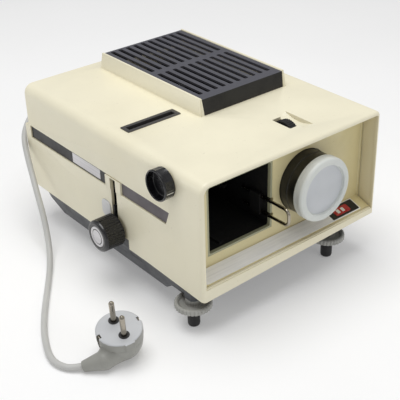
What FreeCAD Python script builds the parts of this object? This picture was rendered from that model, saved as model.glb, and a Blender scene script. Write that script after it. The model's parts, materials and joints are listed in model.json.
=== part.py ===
"""Straight-tray slide projector, 35 mm slides, with push-pull slide changer.

Working frame while modelling, in millimetres: X = 0 on the housing's middle plane (+X to the
right, seen from the lens side), Y = 0 at its mid-depth (lens side towards -Y), Z = 0 on the
table. Every node is moved by the same small shift when it is written, so that the finished
part's origin is the bottom centre of its own box, measured without the mains lead.
"""
import FreeCAD, Part
import math
import os

V = FreeCAD.Vector
X_AXIS = V(1, 0, 0)
Y_AXIS = V(0, 1, 0)
Z_AXIS = V(0, 0, 1)

# ---- housing -------------------------------------------------------------------------------
HALF_W = 106.0            # half the housing's width
HALF_D = 139.0            # half its depth
TOP = 151.0               # top plane above the table
BOTTOM = 40.0             # lower edge of the cream housing
SKIRT_FRONT_Z = (37.8, 44.0)   # its front lower edge, at the left and at the right
SKIRT_LEVEL_Y = -60.0     # behind this the lower edge is level
SKIRT_LOW = 36.0          # lowest plane of the moulding before the skirt is trimmed
WALL = 3.0                # moulded wall
RIM = 3.5                 # edge of the hood round the front recess
LEFT_ROUND = 10.0         # long top edge on the tray side
EDGE_ROUND = 5.0          # long top edge on the lamp side
RIM_ROUND = 3.5           # front and rear outlines
PANEL_Y = -119.5          # face of the recessed front panel
PANEL_T = 3.0
BAND_TOP = 49.6           # top of the lower front band
LEDGE_REAR_Z = 56.4       # where the sloping label ledge meets the panel
STEP_Z = 108.0            # top of the proud rear cover and of the label channel
REAR_PROUD = 4.0          # how far the rear cover stands out
REAR_OPEN_X = 96.0        # half width of the service opening behind the rear cover
REAR_OPEN_Z = (46.0, 102.0)

# ---- labels --------------------------------------------------------------------------------
LABEL_Z = (94.6, STEP_Z)  # label channel on the left side
CHANNEL_DEPTH = 1.8
LABEL_T = 0.6
REAR_LABEL_Y = (-0.5, 133.0)
FRONT_LABEL_Y = (-95.5, -24.5)
LABEL_SLANT = 5.0         # the front label's slanted end
BRIDGE_PROUD = 0.7
BUTTON_Y = (-5.6, 9.0)    # hole of the push button
BUTTON_Z = (61.0, 79.0)
BUTTON_ROUND = 5.5
BUTTON_GAP = 0.2

# ---- slide tray passage --------------------------------------------------------------------
PORT_X = (-82.4, -12.2)   # clear opening for the tray
PORT_Z = (68.3, 132.6)
PORT_FRAME_T = 2.0
PORT_FRAME_DEPTH = 3.8
TUNNEL_X = (-97.0, -10.95)  # clear width of the channel behind the port
TUNNEL_T = 1.5
BAIL_X = -12.6
BAIL_R = 1.5
BAIL_Z = (78.3, 93.8)     # the two rods of the bail
BAIL_NOTCH_X = -9.0       # how far the notches for the rods reach into the panel
BAIL_NOTCH_H = 5.0
BRACKET_Y = (-108.0, -95.0)
TRAY_GEAR_AT = (-6.5, -50.0)
TRAY_GEAR_Z = (80.0, 84.0)
TRAY_GEAR_R = 9.5

# ---- optics --------------------------------------------------------------------------------
LENS_X = 28.5
LENS_Z = 100.5
BARREL_R = 29.5
BARREL_Y = (-143.3, -112.6)
TUBE_R = 24.0
TUBE_END_Y = -50.0
TUBE_WALL = 2.0
SLEEVE_FIT = 0.06
SLEEVE_WALL = 3.0
SLEEVE_Y = (-80.0, -54.0)
CAP_R = 30.6
CAP_WALL = 1.1
CAP_Y = (-147.5, -137.5)
CAP_DISC_R = 23.8
CAP_RECESS = 2.8           # how far the disc lies behind the cap's rim
RACK_X = (33.0, 40.0)
RACK_Y = (-104.0, -84.0)
RACK_TOP = 133.6
MODULE = 1.0              # rack and pinion
PINION_TEETH = 12
FOCUS_Y = -98.8
FOCUS_Z = RACK_TOP - 0.8 + MODULE * PINION_TEETH / 2 + 0.1
FOCUS_R = 13.8
FOCUS_X = (21.5, 29.6)
FOCUS_SLOT_X = (19.0, 30.4)   # slot in the top for the wheel
FOCUS_SLOT_HALF = 11.8
SHAFT_R = 2.0
SHAFT_FIT = 0.05

# ---- slide gate and changer ----------------------------------------------------------------
CHANGER_Y = -13.4         # plane of the changer blade
SLOT_Y = (-16.4, -8.0)    # vertical slot in the left side
SLOT_TOP_Z = 106.3
EDIT_SLOT_X = (-88.0, -36.8)
EDIT_SLOT_Y = (-18.3, -12.3)
BEZEL_X = (-91.6, -32.8)
BEZEL_Y = (-21.8, -8.5)
BEZEL_PROUD = 0.7
CHANGER_Z = 55.6          # axis of the push-pull knob
CHANGER_KNOB_Y = -14.5
CHANGER_KNOB_R = 15.5
CHANGER_KNOB_X = (-129.5, -108.4)
CHANGER_DISC_R = 10.0
BLADE_T = 1.6
BLADE_Z = (60.5, 98.0)
BLADE_END_X = 2.0

# ---- switch --------------------------------------------------------------------------------
SWITCH_Y = -93.0
SWITCH_Z = 137.0
SWITCH_R = 14.1           # over the corners of its twelve flats
SWITCH_FLAT = 13.65
SWITCH_FLATS = 12
SWITCH_X = (-116.8, -106.4)
SWITCH_BODY_X = (-102.9, -98.9)

# ---- vent hood -----------------------------------------------------------------------------
VENT_X = (-24.0, 82.0)
VENT_Y = (-40.0, 122.0)
VENT_H = 16.0
CHEEK_T = 1.8
GRILLE_Z = TOP + 15.2
GRILLE_SLOTS = 10
GRILLE_PITCH = 9.25
GRILLE_SLOT_W = 4.6
GRILLE_GROUPS = ((-27.0, 38.0), (46.0, 116.5))

# ---- feet ----------------------------------------------------------------------------------
FOOT_AT = {"left": (-99.4, -116.0), "right": (67.0, -116.0)}
FOOT_WHEEL_R = 16.9
FOOT_WHEEL_Z = (20.2, 26.2)
FOOT_POST_R = 5.6
FOOT_NUT_R = 6.9
FOOT_BOSS_Z = 30.0        # lower end of the boss that carries the nut
FOOT_POST_TOP = 43.0
REAR_FOOT_AT = ((-66.0, 72.0), (66.0, 72.0))
TUB_BOTTOM = 20.0
TUB_FRONT_Z = 27.2
TUB_T = 3.0

# ---- mains lead ----------------------------------------------------------------------------
CORD_R = 3.0
GLAND_X = 0.0
GLAND_Z = 97.0
GLAND_LEN = 26.0
BOOT_SECTIONS = (((-208.4, -104.2, 4.9), 4.5), ((-192.0, -113.5, 9.0), 8.8), ((-178.0, -112.0, 13.4), 12.6))
PLUG_FACE_AT = (-173.3, -109.5, 30.6)
PLUG_TILT = 10.0          # degrees off upright, leaning towards PLUG_LEAN
PLUG_LEAN = 225.0         # heading of the lean, degrees from +X
PIN_LINE = 81.0           # heading of the line through the two pins
PLUG_FACE_R = 20.0
PLUG_COLLAR = 8.0
# rounded back of the plug: depth below the face, radius
PLUG_BACK = ((-30.0, 0), (-29.5, 8.0), (-27.3, 12.6), (-23.6, 16.3), (-18.0, 18.7), (-12.0, 19.5),
             (-7.0, 19.6), (-7.0, 0))
PIN_R = 2.4
PIN_LEN = 22.5
PIN_DOME = 1.6
PIN_COLLAR_R = 4.7
PIN_GAP = 19.0


# ---- helpers -------------------------------------------------------------------------------
def block(x, y, z):
    """Box from three (low, high) pairs."""
    return Part.makeBox(x[1] - x[0], y[1] - y[0], z[1] - z[0], V(x[0], y[0], z[0]))


def cylinder(radius, start, axis, length):
    return Part.makeCylinder(radius, length, V(*start), axis)


def cyl_x(radius, x, y, z):
    return cylinder(radius, (x[0], y, z), X_AXIS, x[1] - x[0])


def cyl_y(radius, x, y, z):
    return cylinder(radius, (x, y[0], z), Y_AXIS, y[1] - y[0])


def cyl_z(radius, x, y, z):
    return cylinder(radius, (x, y, z[0]), Z_AXIS, z[1] - z[0])


def ring_y(outer, inner, x, y, z):
    return cyl_y(outer, x, y, z).cut(cyl_y(inner, x, y, z))


def prism(points, direction):
    """Straight prism of a closed outline."""
    wire = Part.makePolygon([V(*p) for p in points] + [V(*points[0])])
    return Part.Face(wire).extrude(direction)


def turned(profile, origin, axis):
    """Solid of revolution: profile is (along, radius) pairs, closed on the axis."""
    side = V(0, 0, 1) if abs(axis.z) < 0.5 else V(1, 0, 0)
    base = V(*origin)
    points = [base + axis * a + side * r for a, r in profile]
    face = Part.Face(Part.makePolygon(points + [points[0]]))
    return face.revolve(base, axis, 360)


def slot_block(x, y, z, radius):
    """Box with rounded vertical edges."""
    solid = block(x, y, z)
    upright = [e for e in solid.Edges if abs(e.tangentAt(e.FirstParameter).z) > 0.99]
    return solid.makeFillet(radius, upright)


def union(shapes):
    result = shapes[0]
    for shape in shapes[1:]:
        result = result.fuse(shape)
    return result.removeSplitter()


def group(shapes):
    return Part.makeCompound(shapes)


NODES = {}


def node(name, shape):
    NODES[name] = shape


# ---- housing -------------------------------------------------------------------------------
def hood_outline(inset, z_low):
    """Cross-section of the hood, seen along Y, with its two rounded long edges."""
    half = HALF_W - inset
    top = TOP - inset
    left = LEFT_ROUND - inset
    right = EDGE_ROUND - inset
    corner = math.sqrt(0.5)
    left_mid = V(-half + left * (1 - corner), 0, top - left * (1 - corner))
    right_mid = V(half - right * (1 - corner), 0, top - right * (1 - corner))
    edges = [
        Part.LineSegment(V(-half, 0, z_low), V(-half, 0, top - left)),
        Part.Arc(V(-half, 0, top - left), left_mid, V(-half + left, 0, top)),
        Part.LineSegment(V(-half + left, 0, top), V(half - right, 0, top)),
        Part.Arc(V(half - right, 0, top), right_mid, V(half, 0, top - right)),
        Part.LineSegment(V(half, 0, top - right), V(half, 0, z_low)),
        Part.LineSegment(V(half, 0, z_low), V(-half, 0, z_low)),
    ]
    return Part.Face(Part.Wire([e.toShape() for e in edges]))


def hood_prism(inset, y, z_low):
    face = hood_outline(inset, z_low)
    face.translate(V(0, y[0], 0))
    return face.extrude(V(0, y[1] - y[0], 0))


def vent_cheeks():
    """The hood's two raised cheeks beside the grille, narrower at the top."""
    cheeks = []
    for low_x, high_x, top_low, top_high in (
        (VENT_X[0], VENT_X[0] + 4.2, VENT_X[0] + 1.4, VENT_X[0] + 1.4 + CHEEK_T),
        (VENT_X[1] - 4.2, VENT_X[1], VENT_X[1] - 1.4 - CHEEK_T, VENT_X[1] - 1.4),
    ):
        side = prism([(low_x, 0, TOP - 1), (high_x, 0, TOP - 1), (top_high, 0, TOP + VENT_H),
                      (top_low, 0, TOP + VENT_H)], V(0, 400, 0))
        side.translate(V(0, -200, 0))
        end = prism([(-200, VENT_Y[0], TOP - 1), (-200, VENT_Y[1], TOP - 1),
                     (-200, VENT_Y[1] - 2.5, TOP + VENT_H), (-200, VENT_Y[0] + 3.0, TOP + VENT_H)],
                    V(400, 0, 0))
        cheeks.append(side.common(end))
    return cheeks


def finger_scoop():
    """Dished finger recess beside the focusing wheel."""
    half_chord, depth = 18.0, 3.9
    radius = (half_chord ** 2 + depth ** 2) / (2 * depth)
    return cyl_x(radius, (29.6, 41.0), FOCUS_Y, TOP - depth + radius)


def skirt_trim():
    """Cuts that shape the housing's lower edge: level at the back, running out of level in front."""
    left_z, right_z = SKIRT_FRONT_Z
    inner = HALF_W - WALL - 0.1
    low = SKIRT_LOW - 2
    front = -HALF_D - 1
    front_cut = prism([(-inner, front, low), (inner, front, low), (inner, front, right_z),
                       (-inner, front, left_z)], V(0, 10, 0))
    cuts = [front_cut, block((-inner, inner), (100, 145), (low, BOTTOM))]
    for x, z in ((-HALF_W - 1, left_z), (inner, right_z)):
        cuts.append(prism([(x, front, low), (x, front, z), (x, SKIRT_LEVEL_Y, BOTTOM), (x, 145, BOTTOM),
                           (x, 145, low)], V(WALL + 1.1, 0, 0)))
    return cuts


def upper_housing():
    outer = hood_prism(0, (-HALF_D, HALF_D), SKIRT_LOW)
    outlines = []
    for edge in outer.Edges:
        ends = [v.Point.y for v in edge.Vertexes]
        flat = abs(ends[0] - ends[-1]) < 1e-6
        level = all(abs(v.Point.z - SKIRT_LOW) < 1e-6 for v in edge.Vertexes)
        if flat and not level:
            outlines.append(edge)
    outer = outer.makeFillet(RIM_ROUND, outlines)
    solid = outer.cut(hood_prism(WALL, (-HALF_D + RIM, HALF_D - WALL), SKIRT_LOW - 1))
    solid = solid.cut(hood_prism(RIM, (-HALF_D - 1, -HALF_D + RIM + 1), BAND_TOP))
    corners = [block(x, (HALF_D - RIM_ROUND - 0.5, HALF_D), (SKIRT_LOW, STEP_Z))
               for x in ((-HALF_W, -HALF_W + WALL), (HALF_W - WALL, HALF_W))]
    bridge = block((-HALF_W - BRIDGE_PROUD, -HALF_W + WALL), (FRONT_LABEL_Y[1], REAR_LABEL_Y[0]),
                   (LABEL_Z[0], LABEL_Z[1] - 1.0))
    scoop_pad = block((30.0, 43.2), (PANEL_Y + PANEL_T + 0.3, FOCUS_Y + 21), (TOP - 8.0, TOP - 1.0))
    pinion_relief = cyl_x(MODULE * (PINION_TEETH / 2 + 1.1), RACK_X, FOCUS_Y, FOCUS_Z)
    lamp_opening = block((VENT_X[0] + 4.2, VENT_X[1] - 4.2), (VENT_Y[0] + 6, VENT_Y[1] - 3), (140, 152))
    edit = block((BEZEL_X[0] + 1.5, BEZEL_X[1] - 1.5), (BEZEL_Y[0] + 1.5, BEZEL_Y[1] - 1.5), (140, 152))
    slot_y = (FOCUS_Y - FOCUS_SLOT_HALF, FOCUS_Y + FOCUS_SLOT_HALF)
    wheel_slot = slot_block(FOCUS_SLOT_X, slot_y, (140, 152), 1.2)
    rear_open = block((-REAR_OPEN_X, REAR_OPEN_X), (130, 145), REAR_OPEN_Z)
    tray_exit = block(PORT_X, (130, 145), PORT_Z)
    channel = block((-HALF_W - 1, -HALF_W + CHANNEL_DEPTH),
                    (FRONT_LABEL_Y[0] + LABEL_SLANT, REAR_LABEL_Y[1] + 0.4), LABEL_Z)
    channel = channel.fuse(prism(
        [(-HALF_W - 1, FRONT_LABEL_Y[0] + LABEL_SLANT + 0.1, LABEL_Z[0]),
         (-HALF_W - 1, FRONT_LABEL_Y[0] + LABEL_SLANT + 0.1, LABEL_Z[1]),
         (-HALF_W - 1, FRONT_LABEL_Y[0], LABEL_Z[1])], V(1 + CHANNEL_DEPTH, 0, 0)))
    solid = union([solid.cut(channel), bridge, scoop_pad] + corners + vent_cheeks())
    changer_slot = block((-120, -100), SLOT_Y, (BOTTOM + 6, SLOT_TOP_Z))
    knob_notch = block((-120, -100), (-31.0, 2.0), (BOTTOM - 8, BOTTOM + 10))
    rod_hole = cyl_x(4.8, (-120, -100), CHANGER_KNOB_Y, CHANGER_Z)
    foot_x, foot_y = FOOT_AT["left"]
    post_relief = cyl_z(FOOT_POST_R + 0.3, foot_x, foot_y, (SKIRT_LOW - 1, FOOT_POST_TOP + 20))
    button_hole = slot_block_x((-120, -100), BUTTON_Y, BUTTON_Z, BUTTON_ROUND)
    switch_hole = cyl_x(4.2, (-120, -100), SWITCH_Y, SWITCH_Z)
    tools = [lamp_opening, edit, wheel_slot, finger_scoop(), pinion_relief, rear_open, tray_exit,
             changer_slot, knob_notch, rod_hole, post_relief, button_hole, switch_hole]
    for tool in tools + skirt_trim():
        solid = solid.cut(tool)
    node("upper_housing", solid)


def side_labels():
    face = -HALF_W + CHANNEL_DEPTH
    low, high = LABEL_Z[0] + 0.3, LABEL_Z[1] - 0.3
    node("side_label", block((face - LABEL_T, face), (REAR_LABEL_Y[0] + 0.4, REAR_LABEL_Y[1]), (low, high)))
    front, rear = FRONT_LABEL_Y[0] + 0.4, FRONT_LABEL_Y[1] - 0.3
    outline = [(face - LABEL_T, rear, low), (face - LABEL_T, rear, high), (face - LABEL_T, front, high),
               (face - LABEL_T, front + LABEL_SLANT, low)]
    node("range_label", prism(outline, V(LABEL_T, 0, 0)))
    gap = BUTTON_GAP
    node("side_button", slot_block_x((-HALF_W - 0.5, -HALF_W + WALL), (BUTTON_Y[0] + gap, BUTTON_Y[1] - gap),
                                     (BUTTON_Z[0] + gap, BUTTON_Z[1] - gap), BUTTON_ROUND - gap))


def slot_block_x(x, y, z, radius):
    """Box with its edges along X rounded."""
    solid = block(x, y, z)
    along = [e for e in solid.Edges if abs(e.tangentAt(e.FirstParameter).x) > 0.99]
    return solid.makeFillet(radius, along)


def front_panel():
    half = HALF_W - RIM - 0.1
    front, rear = PANEL_Y, PANEL_Y + PANEL_T
    plate = block((-half, half), (front, rear), (LEDGE_REAR_Z - 2, TOP - RIM - 0.1))
    band_rear = -HALF_D + RIM
    ledge = prism([(-half, front, LEDGE_REAR_Z), (-half, band_rear, BAND_TOP + 1.4),
                   (-half, band_rear, BAND_TOP - 1.6), (-half, rear, LEDGE_REAR_Z - 4.2),
                   (-half, rear, LEDGE_REAR_Z)], V(2 * half, 0, 0))
    corner = hood_prism(RIM + 0.1, (-200, 200), 30)
    solid = union([plate, ledge]).common(corner)
    solid = solid.cut(block((PORT_X[0] - PORT_FRAME_T, PORT_X[1] + PORT_FRAME_T), (-130, -100),
                            (PORT_Z[0] - PORT_FRAME_T, PORT_Z[1] + PORT_FRAME_T)))
    solid = solid.cut(cyl_y(BARREL_R + 0.6, LENS_X, (-130, -100), LENS_Z))
    for z in BAIL_Z:
        notch_z = (z - BAIL_NOTCH_H / 2, z + BAIL_NOTCH_H / 2)
        solid = solid.cut(block((PORT_X[1], BAIL_NOTCH_X), (-130, -100), notch_z))
    node("front_panel", solid)


def front_badge():
    """Brushed name plate on the sloping ledge, with a plain emblem at its right end."""
    band_rear = -HALF_D + RIM
    slope = math.atan2(LEDGE_REAR_Z - BAND_TOP - 1.4, PANEL_Y - band_rear)
    length = (PANEL_Y - band_rear) / math.cos(slope)

    def on_ledge(x, along, height):
        solid = block(x, along, height)
        solid.rotate(V(0, 0, 0), X_AXIS, math.degrees(slope))
        solid.translate(V(0, band_rear, BAND_TOP + 1.4))
        return solid

    margin = 0.8
    node("name_plate", on_ledge((-100.5, 92.0), (margin, length - margin), (0, 0.6)))
    node("name_plate_emblem", on_ledge((62.0, 82.0), (margin + 3.0, length - margin - 3.0), (0.6, 1.2)))


def port_frame():
    outer = block((PORT_X[0] - PORT_FRAME_T, PORT_X[1] + PORT_FRAME_T),
                  (PANEL_Y, PANEL_Y + PORT_FRAME_DEPTH),
                  (PORT_Z[0] - PORT_FRAME_T, PORT_Z[1] + PORT_FRAME_T))
    solid = outer.cut(slot_block_y(PORT_X, (-130, -100), PORT_Z, 2.2))
    for z in BAIL_Z:
        solid = solid.cut(block((PORT_X[1] - 5, PORT_X[1] + PORT_FRAME_T + 1), (-130, -100),
                                (z - BAIL_NOTCH_H / 2, z + BAIL_NOTCH_H / 2)))
    node("tray_port_frame", solid)


def slot_block_y(x, y, z, radius):
    """Box with its edges along Y rounded."""
    solid = block(x, y, z)
    along = [e for e in solid.Edges if abs(e.tangentAt(e.FirstParameter).y) > 0.99]
    return solid.makeFillet(radius, along)


def tray_tunnel():
    """Black channel that the slide tray runs through, from the front port to the rear one."""
    start, end = PANEL_Y + PORT_FRAME_DEPTH, HALF_D - WALL - 1.4
    x = TUNNEL_X
    z = (PORT_Z[0] - 1.0, PORT_Z[1] + 1.0)
    wall = TUNNEL_T
    solid = block((x[0] - wall, x[1] + wall), (start, end), (z[0] - wall, z[1] + wall))
    solid = solid.cut(block(x, (start - 1, end + 1), z))
    blade_y = (CHANGER_Y - 2.0, CHANGER_Y + 2.0)
    blade_way = block((-120, x[1] + 10), blade_y, (BLADE_Z[0] - 4, BLADE_Z[1] + 2))
    edit = block(EDIT_SLOT_X, (EDIT_SLOT_Y[0], EDIT_SLOT_Y[1]), (z[1] - 1, z[1] + 10))
    exit_way = block((x[1] - 1, x[1] + 10), (CHANGER_Y - 2.6, CHANGER_Y + 2.6), (72, 129))
    seat_y = (BRACKET_Y[0] - 0.2, BRACKET_Y[1] + 0.2)
    bail_seat = block((x[1] - 1, x[1] + 6), seat_y, (BAIL_Z[0] - 2.8, BAIL_Z[1] + 2.8))
    for tool in (blade_way, edit, exit_way, bail_seat):
        solid = solid.cut(tool)
    gear_x, gear_y = TRAY_GEAR_AT
    solid = solid.cut(cyl_z(TRAY_GEAR_R + 0.8, gear_x, gear_y, (TRAY_GEAR_Z[0] - 0.8, TRAY_GEAR_Z[1] + 0.8)))
    rail = block((TUNNEL_X[0] + 32, TUNNEL_X[0] + 36), (start + 4, end - 4), (z[0] - 0.5, z[0] + 2.0))
    node("tray_tunnel", union([solid, rail.cut(blade_way)]))


def tray_drive():
    """Toothed wheel that steps the tray on by one slide; it turns on a post of the base."""
    x, y = TRAY_GEAR_AT
    teeth = 12
    wheel = cyl_z(TRAY_GEAR_R, x, y, TRAY_GEAR_Z)
    for index in range(teeth):
        angle = 2 * math.pi * index / teeth
        wheel = wheel.cut(cyl_z(1.6, x + TRAY_GEAR_R * math.cos(angle), y + TRAY_GEAR_R * math.sin(angle),
                                (TRAY_GEAR_Z[0] - 1, TRAY_GEAR_Z[1] + 1)))
    node("tray_drive_gear", wheel.cut(cyl_z(2.05, x, y, (0, 200))))


def slide_slot_bezel():
    flange = slot_block(BEZEL_X, BEZEL_Y, (TOP, TOP + BEZEL_PROUD), 1.2)
    collar = block((BEZEL_X[0] + 1.6, BEZEL_X[1] - 1.6), (BEZEL_Y[0] + 1.6, BEZEL_Y[1] - 1.6),
                   (PORT_Z[1] + 1.0 + TUNNEL_T, TOP))
    hole = block(EDIT_SLOT_X, EDIT_SLOT_Y, (100, 160))
    node("slide_slot_bezel", union([flange, collar]).cut(hole))


def vent_grille():
    """Lift-off lamp-house grille: slotted top, sloping front face and two locating skirts."""
    x = (VENT_X[0] + 1.4 + CHEEK_T + 0.25, VENT_X[1] - 1.4 - CHEEK_T - 0.25)
    top, sheet = GRILLE_Z, 2.2
    base = TOP + 0.2
    profile = [(x[0], VENT_Y[0] + 0.4, base), (x[0], VENT_Y[0] + 2.8, top), (x[0], VENT_Y[1] - 2.6, top),
               (x[0], VENT_Y[1] - 0.2, base), (x[0], VENT_Y[1] - 2.6, base),
               (x[0], VENT_Y[1] - 4.8, top - sheet), (x[0], VENT_Y[0] + 5.2, top - sheet),
               (x[0], VENT_Y[0] + 3.0, base)]
    solid = prism(profile, V(x[1] - x[0], 0, 0))
    lean = prism([(VENT_X[0] + 4.5, -300, TOP), (VENT_X[1] - 4.5, -300, TOP), (x[1], -300, top + 1),
                  (x[0], -300, top + 1)], V(0, 600, 0))
    solid = solid.common(lean)
    middle = (VENT_X[0] + VENT_X[1]) / 2
    for index in range(GRILLE_SLOTS):
        centre = middle + (index - (GRILLE_SLOTS - 1) / 2) * GRILLE_PITCH
        for low, high in GRILLE_GROUPS:
            solid = solid.cut(slot_block((centre - GRILLE_SLOT_W / 2, centre + GRILLE_SLOT_W / 2),
                                         (low, high), (top - 6, top + 2), 1.6))
    node("vent_grille", solid)


def rear_cover():
    """Proud cover across the lower rear, with louvres, the tray exit and the lead's gland hole."""
    front = HALF_D
    back = HALF_D + REAR_PROUD
    outline = [(-HALF_W, front, STEP_Z), (-HALF_W, back - 1.2, STEP_Z), (-HALF_W, back, STEP_Z - 1.2),
               (-HALF_W, back, 82.0), (-HALF_W, HALF_D + 0.6, BOTTOM), (-HALF_W, HALF_D, BOTTOM)]
    solid = prism(outline, V(2 * HALF_W, 0, 0))
    plug = block((-REAR_OPEN_X + 0.3, REAR_OPEN_X - 0.3), (HALF_D - 4.0, HALF_D),
                 (REAR_OPEN_Z[0] + 0.3, REAR_OPEN_Z[1] - 0.3))
    hollow = block((-REAR_OPEN_X + 3, REAR_OPEN_X - 3), (HALF_D - 5.0, HALF_D + 0.2),
                   (REAR_OPEN_Z[0] + 3, REAR_OPEN_Z[1] - 3))
    solid = union([solid, plug]).cut(hollow)
    solid = solid.cut(block(PORT_X, (130, 150), (PORT_Z[0], 120)))
    for index in range(8):
        x = 16.0 + index * 10.0
        solid = solid.cut(slot_block_y((x, x + 4.6), (130, 150), (56.0, 92.0), 2.0))
    screws = []
    for x, z in ((-102, 46), (102, 46), (-102, 101), (102, 101)):
        screws.append(cyl_y(2.6, x, (HALF_D - 6, HALF_D + 5.0), z).cut(
            block((x - 2.4, x + 2.4), (HALF_D + 4.2, HALF_D + 6), (z - 0.4, z + 0.4))))
    node("rear_screws", group(screws))
    node("rear_cover", solid.cut(group(screws)))
    NODES["upper_housing"] = NODES["upper_housing"].cut(group(screws))


# ---- base ----------------------------------------------------------------------------------
def tub_shell(inset, lift):
    """Tub's outer form, pulled in by inset and raised by lift: set back and shallow at the front."""
    half = HALF_W - 3.2
    side = [(-128, BOTTOM), (-112, TUB_FRONT_Z), (-88, TUB_FRONT_Z), (-78, TUB_BOTTOM), (95, TUB_BOTTOM),
            (116.5, 30.6), (122, BOTTOM)]
    solid = prism([(-half + inset, y, z) for y, z in side], V(2 * (half - inset), 0, 0))
    lean = 3.0 + inset
    draft = prism([(-half + inset, -300, BOTTOM), (half - inset, -300, BOTTOM),
                   (half - lean, -300, TUB_BOTTOM), (-half + lean, -300, TUB_BOTTOM)], V(0, 600, 0))
    solid = solid.common(draft)
    solid.translate(V(0, 0, lift))
    return solid


def base_tub():
    """Dark base tray: shallow at the front over the screw feet, deeper behind."""
    half = HALF_W - 3.2
    floor_z = (TUB_BOTTOM - 1, TUB_BOTTOM + TUB_T + 1)
    hollow = tub_shell(TUB_T, TUB_T).common(block((-200, 200), (-125, 112), (0, BOTTOM)))
    solid = tub_shell(0, 0).cut(hollow)
    lip = block((-half, half), (-128, HALF_D - WALL), (BOTTOM - 2.5, BOTTOM))
    lip = lip.cut(block((-half + 6, half - 6), (-120.6, 106), (BOTTOM - 4, BOTTOM + 1)))
    upstand = block((-half, -half + 2.5), (-36, 6), (BOTTOM - 2.5, BOTTOM + 10.8))
    skirt_top = SKIRT_FRONT_Z[1] + 2.0
    closers = [block((-half, half), (-HALF_D + RIM + 0.3, -126), (skirt_top - 1.6, skirt_top)),
               block((-half, half), (-128, -126), (BOTTOM - 1, skirt_top)),
               block((half - 2.5, half), (-128, -40), (BOTTOM - 1, BOTTOM + 6))]
    bosses = [cyl_z(7.6, x, y, (FOOT_BOSS_Z, BOTTOM)) for x, y in FOOT_AT.values()]
    gear_x, gear_y = TRAY_GEAR_AT
    gear_post = cyl_z(2.0, gear_x, gear_y, (TUB_BOTTOM + 1, TRAY_GEAR_Z[1] + 2))
    gear_seat = cyl_z(2.8, gear_x, gear_y, (TUB_BOTTOM + 1, TRAY_GEAR_Z[0] - 0.2))
    solid = union([solid, lip, upstand, gear_post, gear_seat] + closers + bosses)
    wall_room = block((-HALF_W - 5, -HALF_W + WALL + 0.1), (-140, 0), (SKIRT_FRONT_Z[0] - 0.3, BOTTOM + 1))
    solid = solid.cut(wall_room).cut(block((-HALF_W - 5, -HALF_W + 0.4), (-140, 0), (0, BOTTOM)))
    for x, y in FOOT_AT.values():
        solid = solid.cut(cyl_z(FOOT_POST_R + 0.06, x, y, (0, 100)))
        solid = solid.cut(cyl_z(FOOT_NUT_R + 0.4, x, y, (0, FOOT_BOSS_Z)))
    for x, y in REAR_FOOT_AT:
        solid = solid.cut(cyl_z(3.0, x, y, floor_z))
    for index in range(8):
        x = -14.0 + index * 11.3
        solid = solid.cut(block((x, x + 5.0), (34, 92), floor_z))
    solid = solid.cut(block((-half - 1, -half + 1.6), (-44.0, -26.0), (30.6, 33.4)))
    node("base_tub", solid)


def screw_feet():
    """Front levelling feet: a captive knurled nut under the tub turns, and its post rises or falls."""
    low, high = FOOT_WHEEL_Z
    for side, (x, y) in FOOT_AT.items():
        rim_z = high - low
        wheel = turned([(0, 0), (0, FOOT_WHEEL_R - 1.2), (1.2, FOOT_WHEEL_R), (rim_z - 1.0, FOOT_WHEEL_R),
                        (rim_z, FOOT_WHEEL_R - 1.0), (rim_z, 14.0), (rim_z - 2.2, 12.6), (rim_z - 2.2, 0)],
                       (x, y, low), Z_AXIS)
        flutes = 30
        for index in range(flutes):
            angle = 2 * math.pi * index / flutes
            reach = FOOT_WHEEL_R + 0.55
            groove_x, groove_y = x + reach * math.cos(angle), y + reach * math.sin(angle)
            wheel = wheel.cut(cyl_z(1.1, groove_x, groove_y, (low - 1, high + 1)))
        hub = cyl_z(FOOT_NUT_R, x, y, (high - 3.0, FOOT_BOSS_Z - 0.2))
        wheel = union([wheel, hub]).cut(cyl_z(FOOT_POST_R + 0.06, x, y, (0, 100)))
        node("foot_wheel_" + side, wheel)
        post = turned([(0, 0), (0, 2.6), (0.7, 4.1), (2.0, FOOT_POST_R), (FOOT_POST_TOP, FOOT_POST_R),
                       (FOOT_POST_TOP, 0)], (x, y, 0), Z_AXIS)
        node("foot_post_" + side, post)
    pads = []
    for x, y in REAR_FOOT_AT:
        pads.append(turned([(0, 0), (0, 8.0), (1.0, 9.0), (TUB_BOTTOM, 10.0), (TUB_BOTTOM, 2.95),
                            (TUB_BOTTOM + TUB_T, 2.95), (TUB_BOTTOM + TUB_T, 0)], (x, y, 0), Z_AXIS))
    node("rear_feet", group(pads))


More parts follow.
